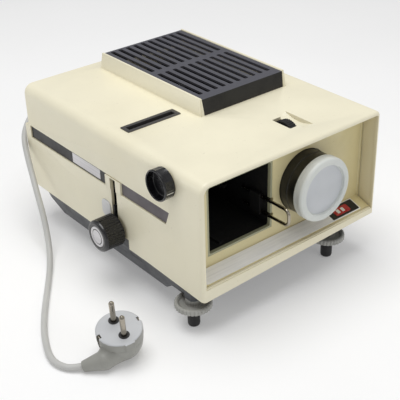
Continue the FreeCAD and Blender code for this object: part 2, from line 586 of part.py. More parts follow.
# ---- lens and focusing ---------------------------------------------------------------------
def lens_group():
    front, back = BARREL_Y
    length, tube_end, bore = back - front, TUBE_END_Y - front, TUBE_R - TUBE_WALL
    barrel = turned([(0, BARREL_R - 2.2), (0, BARREL_R - 0.5), (0.5, BARREL_R), (length, BARREL_R),
                     (length, TUBE_R), (tube_end, TUBE_R), (tube_end, bore), (10.0, bore), (7.0, 23.5)],
                    (LENS_X, front, LENS_Z), Y_AXIS)
    rack = block(RACK_X, RACK_Y, (LENS_Z + 20.5, RACK_TOP - 1.8))
    rack = rack.cut(cyl_y(TUBE_R - 1.0, LENS_X, (-200, 0), LENS_Z))
    barrel = union([barrel, rack])
    pitch = math.pi * MODULE
    teeth = []
    for index in range(-1, 5):
        centre = FOCUS_Y + index * pitch
        root, tip = 0.55 * pitch / 2, 0.25 * pitch / 2
        outline = [(RACK_X[0], centre - root, RACK_TOP - 1.8), (RACK_X[0], centre + root, RACK_TOP - 1.8),
                   (RACK_X[0], centre + tip, RACK_TOP), (RACK_X[0], centre - tip, RACK_TOP)]
        teeth.append(prism(outline, V(RACK_X[1] - RACK_X[0], 0, 0)))
    node("lens_barrel", union([barrel] + teeth))
    glass = {
        "lens_front_element": (-133.2, 21.9, 7.5, 3.0),
        "lens_middle_element": (-96.0, bore, -3.0, 5.0),
        "lens_rear_element": (-62.0, bore, 5.0, 3.0),
    }
    for name, (at, radius, bulge, edge) in glass.items():
        node(name, lens_element(at, radius, bulge, edge))
    ring = ring_y(22.8, 20.4, LENS_X, (-137.4, -135.2), LENS_Z)
    node("lens_retaining_ring", ring)
    sleeve = ring_y(TUBE_R + SLEEVE_WALL, TUBE_R + SLEEVE_FIT, LENS_X, SLEEVE_Y, LENS_Z)
    stand = block((LENS_X - 30, LENS_X + 30), (-72, -62), (48, LENS_Z))
    stand = stand.cut(cyl_y(TUBE_R + SLEEVE_WALL - 0.5, LENS_X, (-80, -50), LENS_Z))
    node("lens_sleeve", union([sleeve, stand]))


def lens_element(at, radius, bulge, edge):
    """Glass element: flat rear, front face domed out (or in) by bulge."""
    sphere_r = (radius ** 2 + bulge ** 2) / (2 * abs(bulge))
    if bulge > 0:
        body = cyl_y(radius, LENS_X, (at - bulge - 1, at + edge), LENS_Z)
        dome = Part.makeSphere(sphere_r, V(LENS_X, at - bulge + sphere_r, LENS_Z))
        rest = cyl_y(radius, LENS_X, (at, at + edge), LENS_Z)
        return body.common(dome).fuse(rest).removeSplitter()
    body = cyl_y(radius, LENS_X, (at, at + edge), LENS_Z)
    return body.cut(Part.makeSphere(sphere_r, V(LENS_X, at + abs(bulge) - sphere_r, LENS_Z)))


def lens_cap():
    front, back = CAP_Y
    length = back - front
    bore = CAP_R - CAP_WALL + 0.25
    cap = turned([(CAP_RECESS, 0), (CAP_RECESS, CAP_DISC_R - 0.6), (CAP_RECESS - 0.5, CAP_DISC_R),
                  (0.5, CAP_DISC_R + 0.2), (0, CAP_DISC_R + 0.9), (0, CAP_R - 3.0), (1.0, CAP_R - 0.9),
                  (2.6, CAP_R), (length, CAP_R), (length, bore), (4.0, bore), (4.0, 0)],
                 (LENS_X, front, LENS_Z), Y_AXIS)
    node("lens_cap", cap)


def focus_drive():
    grip = cyl_x(FOCUS_R, FOCUS_X, FOCUS_Y, FOCUS_Z)
    ribs = 36
    for index in range(ribs):
        angle = 2 * math.pi * index / ribs
        reach = FOCUS_R + 0.35
        grip = grip.cut(cyl_x(0.75, (FOCUS_X[0] - 1, FOCUS_X[1] + 1), FOCUS_Y + reach * math.cos(angle),
                              FOCUS_Z + reach * math.sin(angle)))
    shaft = cyl_x(SHAFT_R, (12.5, 48.0), FOCUS_Y, FOCUS_Z)
    node("focus_wheel", grip.cut(shaft))
    root_r = MODULE * (PINION_TEETH / 2 - 1.15)
    blank = cyl_x(root_r, (RACK_X[0] + 0.5, RACK_X[1] - 0.5), FOCUS_Y, FOCUS_Z)
    tip_r = MODULE * (PINION_TEETH / 2 + 0.6)
    teeth = [blank]
    for index in range(PINION_TEETH):
        root, tip = 0.62, 0.30
        tooth = prism([(RACK_X[0] + 0.5, -root, root_r - 0.4), (RACK_X[0] + 0.5, root, root_r - 0.4),
                       (RACK_X[0] + 0.5, tip, tip_r), (RACK_X[0] + 0.5, -tip, tip_r)],
                      V(RACK_X[1] - RACK_X[0] - 1.0, 0, 0))
        tooth.rotate(V(0, 0, 0), X_AXIS, 180 + (index + 0.5) * 360 / PINION_TEETH)
        tooth.translate(V(0, FOCUS_Y, FOCUS_Z))
        teeth.append(tooth)
    node("focus_pinion", union(teeth).cut(shaft))
    node("focus_shaft", shaft)
    ears = []
    for x in ((14.0, 17.0), (43.5, 46.5)):
        ear = block(x, (FOCUS_Y - 5, FOCUS_Y + 5), (FOCUS_Z - 6, TOP - WALL))
        ears.append(ear.cut(cyl_x(SHAFT_R + SHAFT_FIT, (x[0] - 1, x[1] + 1), FOCUS_Y, FOCUS_Z)))
    node("focus_bearings", group(ears))


# ---- slide changer -------------------------------------------------------------------------
def slide_changer():
    front, back = CHANGER_KNOB_X
    grip = cyl_x(CHANGER_KNOB_R, (front + 2.2, back), CHANGER_KNOB_Y, CHANGER_Z)
    nose = turned([(0, 0), (0, CHANGER_KNOB_R - 2.4), (0.5, CHANGER_KNOB_R - 1.2),
                   (1.3, CHANGER_KNOB_R - 0.4), (2.2, CHANGER_KNOB_R), (2.2, 0)],
                  (front, CHANGER_KNOB_Y, CHANGER_Z), X_AXIS)
    knob = union([grip, nose])
    ribs = 34
    for index in range(ribs):
        angle = 2 * math.pi * index / ribs
        reach = CHANGER_KNOB_R + 0.45
        knob = knob.cut(cyl_x(0.9, (front + 3.0, back + 1), CHANGER_KNOB_Y + reach * math.cos(angle),
                              CHANGER_Z + reach * math.sin(angle)))
    knob = knob.cut(cyl_x(CHANGER_DISC_R + 0.2, (front - 1, front + 0.8), CHANGER_KNOB_Y, CHANGER_Z))
    rod = cyl_x(4.0, (front + 10.0, -92.0), CHANGER_KNOB_Y, CHANGER_Z)
    node("changer_knob", knob.cut(rod))
    disc = cyl_x(CHANGER_DISC_R, (front + 0.1, front + 0.8), CHANGER_KNOB_Y, CHANGER_Z)
    groove = cyl_x(7.6, (front, front + 0.4), CHANGER_KNOB_Y, CHANGER_Z).cut(
        cyl_x(6.9, (front, front + 0.4), CHANGER_KNOB_Y, CHANGER_Z))
    node("changer_knob_disc", disc.cut(groove))
    node("changer_rod", rod)
    sheet_y = (CHANGER_Y - BLADE_T / 2, CHANGER_Y + BLADE_T / 2)
    blade = block((-100.0, BLADE_END_X), sheet_y, BLADE_Z)
    neck = block((-107.6, -92.0), sheet_y, (CHANGER_Z - 3.0, 80.0))
    blade = union([blade, neck]).cut(rod)
    node("pusher_blade", blade)


def switch_group():
    front, back = SWITCH_X
    length = back - front
    knob = turned([(0.8, 12.4), (0, 12.9), (0, 13.6), (0.7, SWITCH_R), (length, SWITCH_R), (length, 0),
                   (7.2, 0), (7.2, 12.0)], (front, SWITCH_Y, SWITCH_Z), X_AXIS)
    for index in range(SWITCH_FLATS):
        beyond = block((front + 1.2, back + 1), (-20, 20), (SWITCH_FLAT, SWITCH_FLAT + 10))
        beyond.rotate(V(0, 0, 0), X_AXIS, (index + 0.5) * 360 / SWITCH_FLATS)
        beyond.translate(V(0, SWITCH_Y, SWITCH_Z))
        knob = knob.cut(beyond)
    stem = cyl_x(3.0, (front + 8.2, SWITCH_BODY_X[1] - 0.4), SWITCH_Y, SWITCH_Z)
    node("switch_knob", knob.cut(stem))
    node("switch_stem", stem)
    head = turned([(0, 0), (0, 2.2), (0.5, 2.8), (1.4, 2.8), (1.4, 0)],
                  (front + 5.8, SWITCH_Y, SWITCH_Z), X_AXIS)
    driver = block((front, front + 6.4), (SWITCH_Y - 3, SWITCH_Y + 3), (SWITCH_Z - 0.4, SWITCH_Z + 0.4))
    node("switch_screw", head.cut(driver))
    body = block(SWITCH_BODY_X, (SWITCH_Y - 13, SWITCH_Y + 13), (SWITCH_Z - 15.0, SWITCH_Z + 4.0))
    node("switch_body", body.cut(cyl_x(3.3, (-120, -80), SWITCH_Y, SWITCH_Z)))


def tray_bail():
    """Nickel wire loop that frees the tray: two rods joined by a rounded front bar."""
    x, r, front, back, bend = BAIL_X, BAIL_R, -143.5, -84.0, 5.5
    low, high = BAIL_Z
    short = bend * (1 - math.sqrt(0.5))
    rods = [
        Part.LineSegment(V(x, back, high), V(x, front + bend, high)),
        Part.Arc(V(x, front + bend, high), V(x, front + short, high - short), V(x, front, high - bend)),
        Part.LineSegment(V(x, front, high - bend), V(x, front, low + bend)),
        Part.Arc(V(x, front, low + bend), V(x, front + short, low + short), V(x, front + bend, low)),
        Part.LineSegment(V(x, front + bend, low), V(x, back, low)),
    ]
    path = Part.Wire([e.toShape() for e in rods])
    section = Part.Wire([Part.makeCircle(r, V(x, back, high), Y_AXIS)])
    node("tray_release_bail", path.makePipeShell([section], True, False))
    bracket = block((x - 2.3, x + 5.0), BRACKET_Y, (low - 2.6, high + 2.6))
    for z in (low, high):
        bracket = bracket.cut(cyl_y(r + 0.06, x, (-120, -80), z))
    node("bail_bracket", bracket)


# ---- gate, lamp house and electrics --------------------------------------------------------
def film_gate():
    """Gate plate with two slide rails, and the sprung plate that presses the slide against it."""
    x = (LENS_X - 34, LENS_X + 40)
    window = block((LENS_X - 18, LENS_X + 18), (-40, 10), (LENS_Z - 18, LENS_Z + 18))
    plate = block(x, (CHANGER_Y - 4.0, CHANGER_Y - 1.8), (58, 140)).cut(window)
    rails = [block(x, (CHANGER_Y - 2.0, CHANGER_Y + 1.4), z) for z in ((68, 74), (127, 133))]
    node("film_gate", union([plate] + rails).cut(block((-20, 3.5), (CHANGER_Y - 1.8, 0), (50, 104))))
    press = block(x, (CHANGER_Y + 1.5, CHANGER_Y + 2.7), (58, 140))
    node("gate_pressure_plate", press.cut(window))


def lamp_house():
    x, y, z = (-8.0, 72.0), (4.0, 112.0), (52.0, 138.0)
    inside = block((x[0] + 1.2, x[1] - 1.2), (y[0] + 1.2, y[1] - 1.2), (z[0] + 1.2, z[1] + 1))
    shell = block(x, y, z).cut(inside)
    shell = shell.cut(cyl_y(21.0, LENS_X, (0, 8), LENS_Z))
    shell = shell.cut(block((LENS_X - 24, LENS_X + 24), (34, 90), (z[0] - 1, z[0] + 2)))
    node("lamp_house", shell)
    node("condenser_lenses", group([lens_element(at, 23.0, 5.5, 3.0) for at in (14.5, 32.0)]))
    holder = block((LENS_X - 27, LENS_X + 27), (8.0, 40.0), (z[0] + 1.2, LENS_Z + 18))
    holder = holder.cut(cyl_y(23.1, LENS_X, (0, 50), LENS_Z)).cut(
        block((LENS_X - 22, LENS_X + 22), (12, 37), (z[0] + 4, LENS_Z)))
    holder = holder.cut(block((LENS_X - 24, LENS_X + 24), (0, 50), (LENS_Z, 150)))
    node("condenser_holder", holder)
    node("heat_glass", block((LENS_X - 20, LENS_X + 20), (41.0, 44.0), (LENS_Z - 20, LENS_Z + 20)))
    lamp = turned([(0, 0), (0, 14.0), (52.0, 14.0), (60.0, 9.0), (63.0, 0)], (LENS_X, 64.0, 74.0), Z_AXIS)
    node("lamp", lamp)
    socket_foot = block((LENS_X - 26, LENS_X + 26), (58, 70), (53.2, 60.0))
    node("lamp_socket", union([cyl_z(16.0, LENS_X, 64.0, (60.0, 74.0)), socket_foot]))
    dish = Part.makeSphere(24.0, V(LENS_X, 72.0, LENS_Z)).cut(Part.makeSphere(22.8, V(LENS_X, 72.0, LENS_Z)))
    node("reflector", dish.common(block((-100, 100), (86.0, 120.0), (40, 160))))


def fan():
    node("fan_motor", cyl_z(17.0, LENS_X, 62.0, (TUB_BOTTOM + TUB_T, 36.0)))
    rotor = cyl_z(7.0, LENS_X, 62.0, (36.4, 46.0))
    blades = [rotor]
    for index in range(6):
        blade = block((5.0, 29.0), (-0.8, 0.8), (38.0, 45.0))
        blade.rotate(V(0, 0, 41.5), X_AXIS, 32)
        blade.rotate(V(0, 0, 0), Z_AXIS, index * 60)
        blade.translate(V(LENS_X, 62.0, 0))
        blades.append(blade)
    node("fan_impeller", union(blades))


def transformer():
    core = block((-92, -24), (32, 92), (TUB_BOTTOM + TUB_T, 60.0))
    window = block((-80, -36), (30, 100), (36.0, 48.0))
    node("transformer_core", core.cut(window))
    node("transformer_coil", block((-79.5, -36.5), (28.0, 104.0), (36.2, 47.8)))


# ---- mains lead ----------------------------------------------------------------------------
CORD_ROUTE = [
    (0.0, 165.0, 97.0), (0.0, 184.0, 97.0), (-10.9, 200.8, 96.2), (-29.2, 208.9, 95.2),
    (-48.9, 205.8, 94.6), (-66.5, 193.0, 94.4), (-83.0, 176.8, 94.4), (-97.0, 161.5, 93.2),
    (-108.0, 147.5, 88.5), (-114.5, 132.0, 77.0), (-119.8, 116.0, 63.0), (-125.5, 99.5, 51.0),
    (-130.0, 84.5, 37.0), (-134.2, 72.5, 21.5), (-141.0, 58.5, 8.3), (-152.0, 41.0, 3.4),
    (-165.0, 22.0, 3.2), (-178.0, 4.0, 3.2), (-191.0, -14.5, 3.2), (-203.0, -33.0, 3.2),
    (-212.0, -49.5, 3.2), (-221.4, -72.0, 3.2), (-222.2, -86.7, 3.2), (-215.2, -100.3, 3.3),
    (-200.6, -108.7, 6.8),
]


def rounded_path(points):
    """Straight runs joined by tangent arcs, each arc as large as its two runs allow."""
    pts = [V(*p) for p in points]
    edges, radii = [], []
    start = pts[0]
    for before, corner, after in zip(pts, pts[1:], pts[2:]):
        run_in, run_out = corner - before, after - corner
        turn = run_in.getAngle(run_out)
        setback = 0.45 * min(run_in.Length, run_out.Length)
        radii.append(setback / math.tan(turn / 2))
        toward, away = V(run_in).normalize(), V(run_out).normalize()
        first, last = corner - toward * setback, corner + away * setback
        bisector = (away - toward).normalize()
        centre_distance = math.hypot(radii[-1], setback)
        middle = corner + bisector * (centre_distance - radii[-1])
        edges.append(Part.LineSegment(start, first).toShape())
        edges.append(Part.Arc(first, middle, last).toShape())
        start = last
    edges.append(Part.LineSegment(start, pts[-1]).toShape())
    return Part.Wire(edges), radii


def mains_lead():
    wire, radii = rounded_path(CORD_ROUTE)
    start = V(*CORD_ROUTE[0])
    heading = (V(*CORD_ROUTE[1]) - start).normalize()
    section = Part.Wire([Part.makeCircle(CORD_R, start, heading)])
    tube = wire.makePipeShell([section], True, False)
    node("mains_cord", tube)
    expected = math.pi * CORD_R ** 2 * wire.Length
    print("cord length %.0f mm, volume %.4f of section x length" % (wire.Length, tube.Volume / expected))
    print("cord radii", " ".join("%.0f" % r for r in radii))
    relief = turned([(0, 0), (0, 7.5), (6.0, 7.5), (8.0, 5.6), (GLAND_LEN, 3.8), (GLAND_LEN, 0)],
                    (GLAND_X, HALF_D, GLAND_Z), Y_AXIS)
    node("cord_gland", relief)
    NODES["rear_cover"] = NODES["rear_cover"].cut(cyl_y(7.6, GLAND_X, (HALF_D - 10, 160), GLAND_Z))


def plug():
    """Angled earthed mains plug lying on its rounded back, pins up, its boot leading off sideways."""
    tilt, lean, line = (math.radians(a) for a in (PLUG_TILT, PLUG_LEAN, PIN_LINE))
    normal = V(math.sin(tilt) * math.cos(lean), math.sin(tilt) * math.sin(lean), math.cos(tilt))
    across = V(math.cos(line), math.sin(line), 0)
    across = (across - normal * across.dot(normal)).normalize()
    side = across.cross(normal)
    at = V(*PLUG_FACE_AT)
    frame = FreeCAD.Matrix(side.x, across.x, normal.x, at.x, side.y, across.y, normal.y, at.y,
                           side.z, across.z, normal.z, at.z, 0, 0, 0, 1)
    collar = cyl_z(PLUG_FACE_R, 0, 0, (-PLUG_COLLAR, 0))
    bowl = turned(PLUG_BACK, (0, 0, 0), Z_AXIS)
    edge = PLUG_FACE_R - 1.6
    notches = [block((s * PLUG_FACE_R - 3.0, s * PLUG_FACE_R + 3.0), (-2.6, 2.6), (-14.0, 1.0))
               for s in (-1, 1)]
    clips = group([block((s * edge - 0.4, s * edge + 0.4), (-2.0, 2.0), (-14.0, -1.0)) for s in (-1, 1)])
    pin_profile = [(-6.0, 0), (-6.0, PIN_R), (PIN_LEN - PIN_DOME, PIN_R),
                   (PIN_LEN - PIN_DOME / 3, PIN_R - 0.7), (PIN_LEN, PIN_R - 1.7), (PIN_LEN, 0)]
    pins = group([turned(pin_profile, (0, s * PIN_GAP / 2, 0), Z_AXIS) for s in (-1, 1)])
    seats = [cyl_z(PIN_COLLAR_R, 0, s * PIN_GAP / 2, (-1.0, 0.5)) for s in (-1, 1)]
    body = union([collar, bowl] + seats).cut(group(notches)).cut(clips).cut(pins)
    placed = {"plug_body": body, "plug_pins": pins, "plug_earth_clips": clips}
    for name in placed:
        node(name, placed[name].transformGeometry(frame))
    boot = None
    for (near, near_r), (far, far_r) in zip(BOOT_SECTIONS, BOOT_SECTIONS[1:]):
        along = V(*far) - V(*near)
        cone = Part.makeCone(near_r, far_r, along.Length, V(*near), along)
        boot = cone if boot is None else boot.fuse(cone).fuse(Part.makeSphere(near_r, V(*near)))
    whole = union([collar, bowl]).transformGeometry(frame)
    node("plug_boot", boot.cut(whole).cut(NODES["mains_cord"]))


def main():
    os.makedirs("parts", exist_ok=True)
    upper_housing()
    side_labels()
    front_panel()
    front_badge()
    port_frame()
    tray_tunnel()
    tray_drive()
    slide_slot_bezel()
    vent_grille()
    rear_cover()
    base_tub()
    screw_feet()
    lens_group()
    lens_cap()
    focus_drive()
    slide_changer()
    switch_group()
    tray_bail()
    film_gate()
    lamp_house()
    fan()
    transformer()
    mains_lead()
    plug()
    cord_nodes = ("mains_cord", "plug_boot", "plug_body", "plug_pins", "plug_earth_clips", "cord_gland")
    boxes = [shape.BoundBox for name, shape in NODES.items() if name not in cord_nodes]
    shift = V(-(min(b.XMin for b in boxes) + max(b.XMax for b in boxes)) / 2,
              -(min(b.YMin for b in boxes) + max(b.YMax for b in boxes)) / 2, 0)
    print("shift", shift, "height", max(b.ZMax for b in boxes), "low", min(b.ZMin for b in boxes))
    for name, shape in NODES.items():
        placed = shape.copy()
        placed.translate(shift)
        if not placed.isValid():
            print("not valid:", name)
        placed.exportStep("parts/%s.step" % name)
    print(len(NODES), "nodes")


main()
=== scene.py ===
import json
import math

import bmesh
import bpy
from mathutils import Matrix, Vector

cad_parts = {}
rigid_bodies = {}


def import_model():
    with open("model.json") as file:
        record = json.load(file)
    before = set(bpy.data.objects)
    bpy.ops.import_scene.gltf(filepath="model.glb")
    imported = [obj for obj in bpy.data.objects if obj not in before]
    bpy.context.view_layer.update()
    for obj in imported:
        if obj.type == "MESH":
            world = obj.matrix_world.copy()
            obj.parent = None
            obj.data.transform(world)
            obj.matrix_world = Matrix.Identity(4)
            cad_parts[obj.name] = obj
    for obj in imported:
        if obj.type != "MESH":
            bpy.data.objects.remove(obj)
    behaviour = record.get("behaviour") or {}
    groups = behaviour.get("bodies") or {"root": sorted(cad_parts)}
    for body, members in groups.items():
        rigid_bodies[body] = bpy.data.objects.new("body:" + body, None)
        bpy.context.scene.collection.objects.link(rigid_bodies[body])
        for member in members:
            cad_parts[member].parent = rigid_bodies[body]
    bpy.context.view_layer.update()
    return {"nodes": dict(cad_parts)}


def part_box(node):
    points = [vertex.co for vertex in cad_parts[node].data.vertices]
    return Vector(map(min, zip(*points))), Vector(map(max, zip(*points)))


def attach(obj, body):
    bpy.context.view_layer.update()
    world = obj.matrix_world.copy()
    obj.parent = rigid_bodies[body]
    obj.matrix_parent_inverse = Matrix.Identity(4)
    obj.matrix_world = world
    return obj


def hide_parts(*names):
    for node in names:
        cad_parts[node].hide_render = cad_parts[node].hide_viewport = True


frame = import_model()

NODES = frame["nodes"]
MM = 0.001
SHARP_ANGLE = 32.0  # degrees; an edge that turns by more is eased, and its shading is split

# ---- frame of the housing ------------------------------------------------------------------
# Sizes below are in millimetres from the housing's middle plane (x), its mid-depth (y) and the
# table (z); ORIGIN moves them to the row frame.
HALF_DEPTH = 139.0
cover_low, cover_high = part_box("rear_cover")
housing_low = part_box("upper_housing")[0]
ORIGIN = Vector(((cover_low.x + cover_high.x) / 2, housing_low.y + HALF_DEPTH * MM, 0.0))


def at(x, y, z):
    return ORIGIN + Vector((x, y, z)) * MM


def box_mm(node):
    """Low and high corner of a CAD node, in millimetres from ORIGIN."""
    return [(corner - ORIGIN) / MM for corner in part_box(node)]


# ---- camera --------------------------------------------------------------------------------
def make_camera():
    """Camera at the photograph's angle, slightly rolled."""
    azimuth, elevation, roll = (math.radians(a) for a in (-38.36, 30.3, -1.74))
    distance, across, above, top = 866.14, 5.54, -97.69, 151.0
    back = Vector((math.sin(azimuth) * math.cos(elevation), -math.cos(azimuth) * math.cos(elevation),
                   math.sin(elevation)))
    level = (-back).cross(Vector((0, 0, 1))).normalized()
    upright = level.cross(-back)
    right = level * math.cos(roll) + upright * math.sin(roll)
    up = upright * math.cos(roll) - level * math.sin(roll)
    place = back * distance + right * across + up * above + Vector((0, 0, top))
    data = bpy.data.cameras.new("camera")
    data.sensor_width = 36.0
    data.lens = 82.41
    data.clip_start, data.clip_end = 0.05, 50.0
    camera = bpy.data.objects.new("camera", data)
    bpy.context.scene.collection.objects.link(camera)
    turn = Matrix((right, up, back)).transposed().to_4x4()
    camera.matrix_world = Matrix.Translation(ORIGIN + place * MM) @ turn
    bpy.context.scene.camera = camera


make_camera()


# ---- materials -----------------------------------------------------------------------------
def rgb(red, green, blue):
    """Linear colour of an sRGB triple given as 0 to 255."""
    def linear(value):
        value /= 255.0
        return value / 12.92 if value <= 0.04045 else ((value + 0.055) / 1.055) ** 2.4
    return (linear(red), linear(green), linear(blue), 1.0)


class Shader:
    """Principled material with a few procedural helpers, all in object coordinates (metres)."""

    def __init__(self, name):
        self.material = bpy.data.materials.new(name)
        self.material.use_nodes = True
        self.tree = self.material.node_tree
        self.bsdf = self.tree.nodes["Principled BSDF"]
        self.place = self.tree.nodes.new("ShaderNodeTexCoord").outputs["Object"]

    def wire(self, socket, value):
        if isinstance(value, bpy.types.NodeSocket):
            self.tree.links.new(value, socket)
        else:
            socket.default_value = value

    def node(self, kind, inputs=(), **settings):
        made = self.tree.nodes.new(kind)
        for key, value in settings.items():
            setattr(made, key, value)
        for key, value in dict(inputs).items():
            self.wire(made.inputs[key], value)
        return made

    def set(self, **values):
        for key, value in values.items():
            self.wire(self.bsdf.inputs[key.replace("_", " ")], value)
        return self

    def noise(self, scale, detail=3.0, rough=0.5, stretch=None):
        place = self.place
        if stretch is not None:
            place = self.node("ShaderNodeMapping", {"Vector": place, "Scale": stretch}).outputs["Vector"]
        made = self.node("ShaderNodeTexNoise", {"Vector": place, "Scale": scale, "Detail": detail,
                                                "Roughness": rough})
        return made.outputs["Fac"]

    def ramp(self, value, low, high, out_low=0.0, out_high=1.0):
        made = self.node("ShaderNodeMapRange", {"Value": value, "From Min": low, "From Max": high,
                                                "To Min": out_low, "To Max": out_high})
        made.interpolation_type = "SMOOTHSTEP"
        return made.outputs["Result"]

    def mix(self, factor, first, second):
        made = self.node("ShaderNodeMix", data_type="RGBA")
        self.wire(made.inputs["Factor"], factor)
        self.wire(made.inputs[6], first)
        self.wire(made.inputs[7], second)
        return made.outputs[2]

    def math(self, operation, first, second=0.0):
        made = self.node("ShaderNodeMath", operation=operation)
        self.wire(made.inputs[0], first)
        self.wire(made.inputs[1], second)
        return made.outputs[0]

    def crevice(self, distance):
        """1 in the open, falling towards 0 deep in corners."""
        made = self.node("ShaderNodeAmbientOcclusion", {"Distance": distance}, samples=8)
        return made.outputs["AO"]

    def bump(self, height, strength, distance):
        made = self.node("ShaderNodeBump", {"Height": height, "Strength": strength, "Distance": distance})
        self.wire(self.bsdf.inputs["Normal"], made.outputs["Normal"])
        return self


def plastic(name, colour, rough, grain=900.0, grain_depth=0.00004, mottle=0.05, crevice_shade=0.25, specks=0.0,
            tint=None, coat=0.0, crevice_shade_colour=(0.06, 0.045, 0.03, 1.0), recess_shade_colour=None):
    """Moulded plastic: fine surface grain, cloudy colour, painted shade in corners and recesses, and a few
    dark specks.
    """
    s = Shader(name)
    cloud = s.noise(14.0, 4.0, 0.6)
    darker = tuple(c * (1 - 2.2 * mottle) for c in colour[:3]) + (1.0,)
    base = s.mix(s.ramp(cloud, 0.3, 0.7), darker, colour)
    if tint is not None:
        base = s.mix(s.ramp(s.noise(5.0, 2.0), 0.42, 0.72, 0.0, 0.55), base, tint)
    if specks:
        spot = s.ramp(s.noise(420.0, 2.0, 0.4), 0.735, 0.765, 0.0, specks)
        base = s.mix(spot, base, (0.10, 0.075, 0.04, 1.0))
    # Painted shade: surfaces deep in recesses, found by ambient occlusion over 70 mm, are mixed towards a
    # warm darker cream, standing in for the shade and warm bounce light there.
    if recess_shade_colour is not None:
        base = s.mix(s.ramp(s.crevice(0.07), 0.1, 0.7, 0.5, 0.0), base, recess_shade_colour)
    # Painted shade: narrow corners and crevices, found by ambient occlusion over 6 mm, are mixed towards a
    # dark colour.
    if crevice_shade:
        crevice_shade_mask = s.ramp(s.crevice(0.006), 0.35, 0.95, crevice_shade, 0.0)
        base = s.mix(crevice_shade_mask, base, crevice_shade_colour)
    wear = s.ramp(s.noise(60.0, 5.0, 0.65), 0.35, 0.75, rough * 0.82, min(1.0, rough * 1.25))
    s.set(Base_Color=base, Roughness=wear, Coat_Weight=coat, Coat_Roughness=0.15)
    fine = s.math("ADD", s.noise(grain, 2.0), s.math("MULTIPLY", s.noise(55.0, 2.0), 0.35))
    return s.bump(fine, 0.35, grain_depth).material


def brushed(name, colour, rough, stretch, metallic=1.0, depth=0.00003, tarnish=0.15):
    """Metal with a drawn grain along the axis that stretch leaves unscaled."""
    s = Shader(name)
    lines = s.noise(700.0, 4.0, 0.7, stretch=stretch)
    cloud = s.noise(30.0, 4.0, 0.6)
    dull = tuple(c * (1 - tarnish) for c in colour[:3]) + (1.0,)
    base = s.mix(s.ramp(cloud, 0.35, 0.7), dull, colour)
    base = s.mix(s.ramp(lines, 0.35, 0.7, 0.0, 0.16), base, (0.25, 0.25, 0.25, 1.0))
    s.set(Base_Color=base, Metallic=metallic, Roughness=s.ramp(lines, 0.3, 0.7, rough * 0.8, rough * 1.3))
    return s.bump(lines, 0.3, depth).material


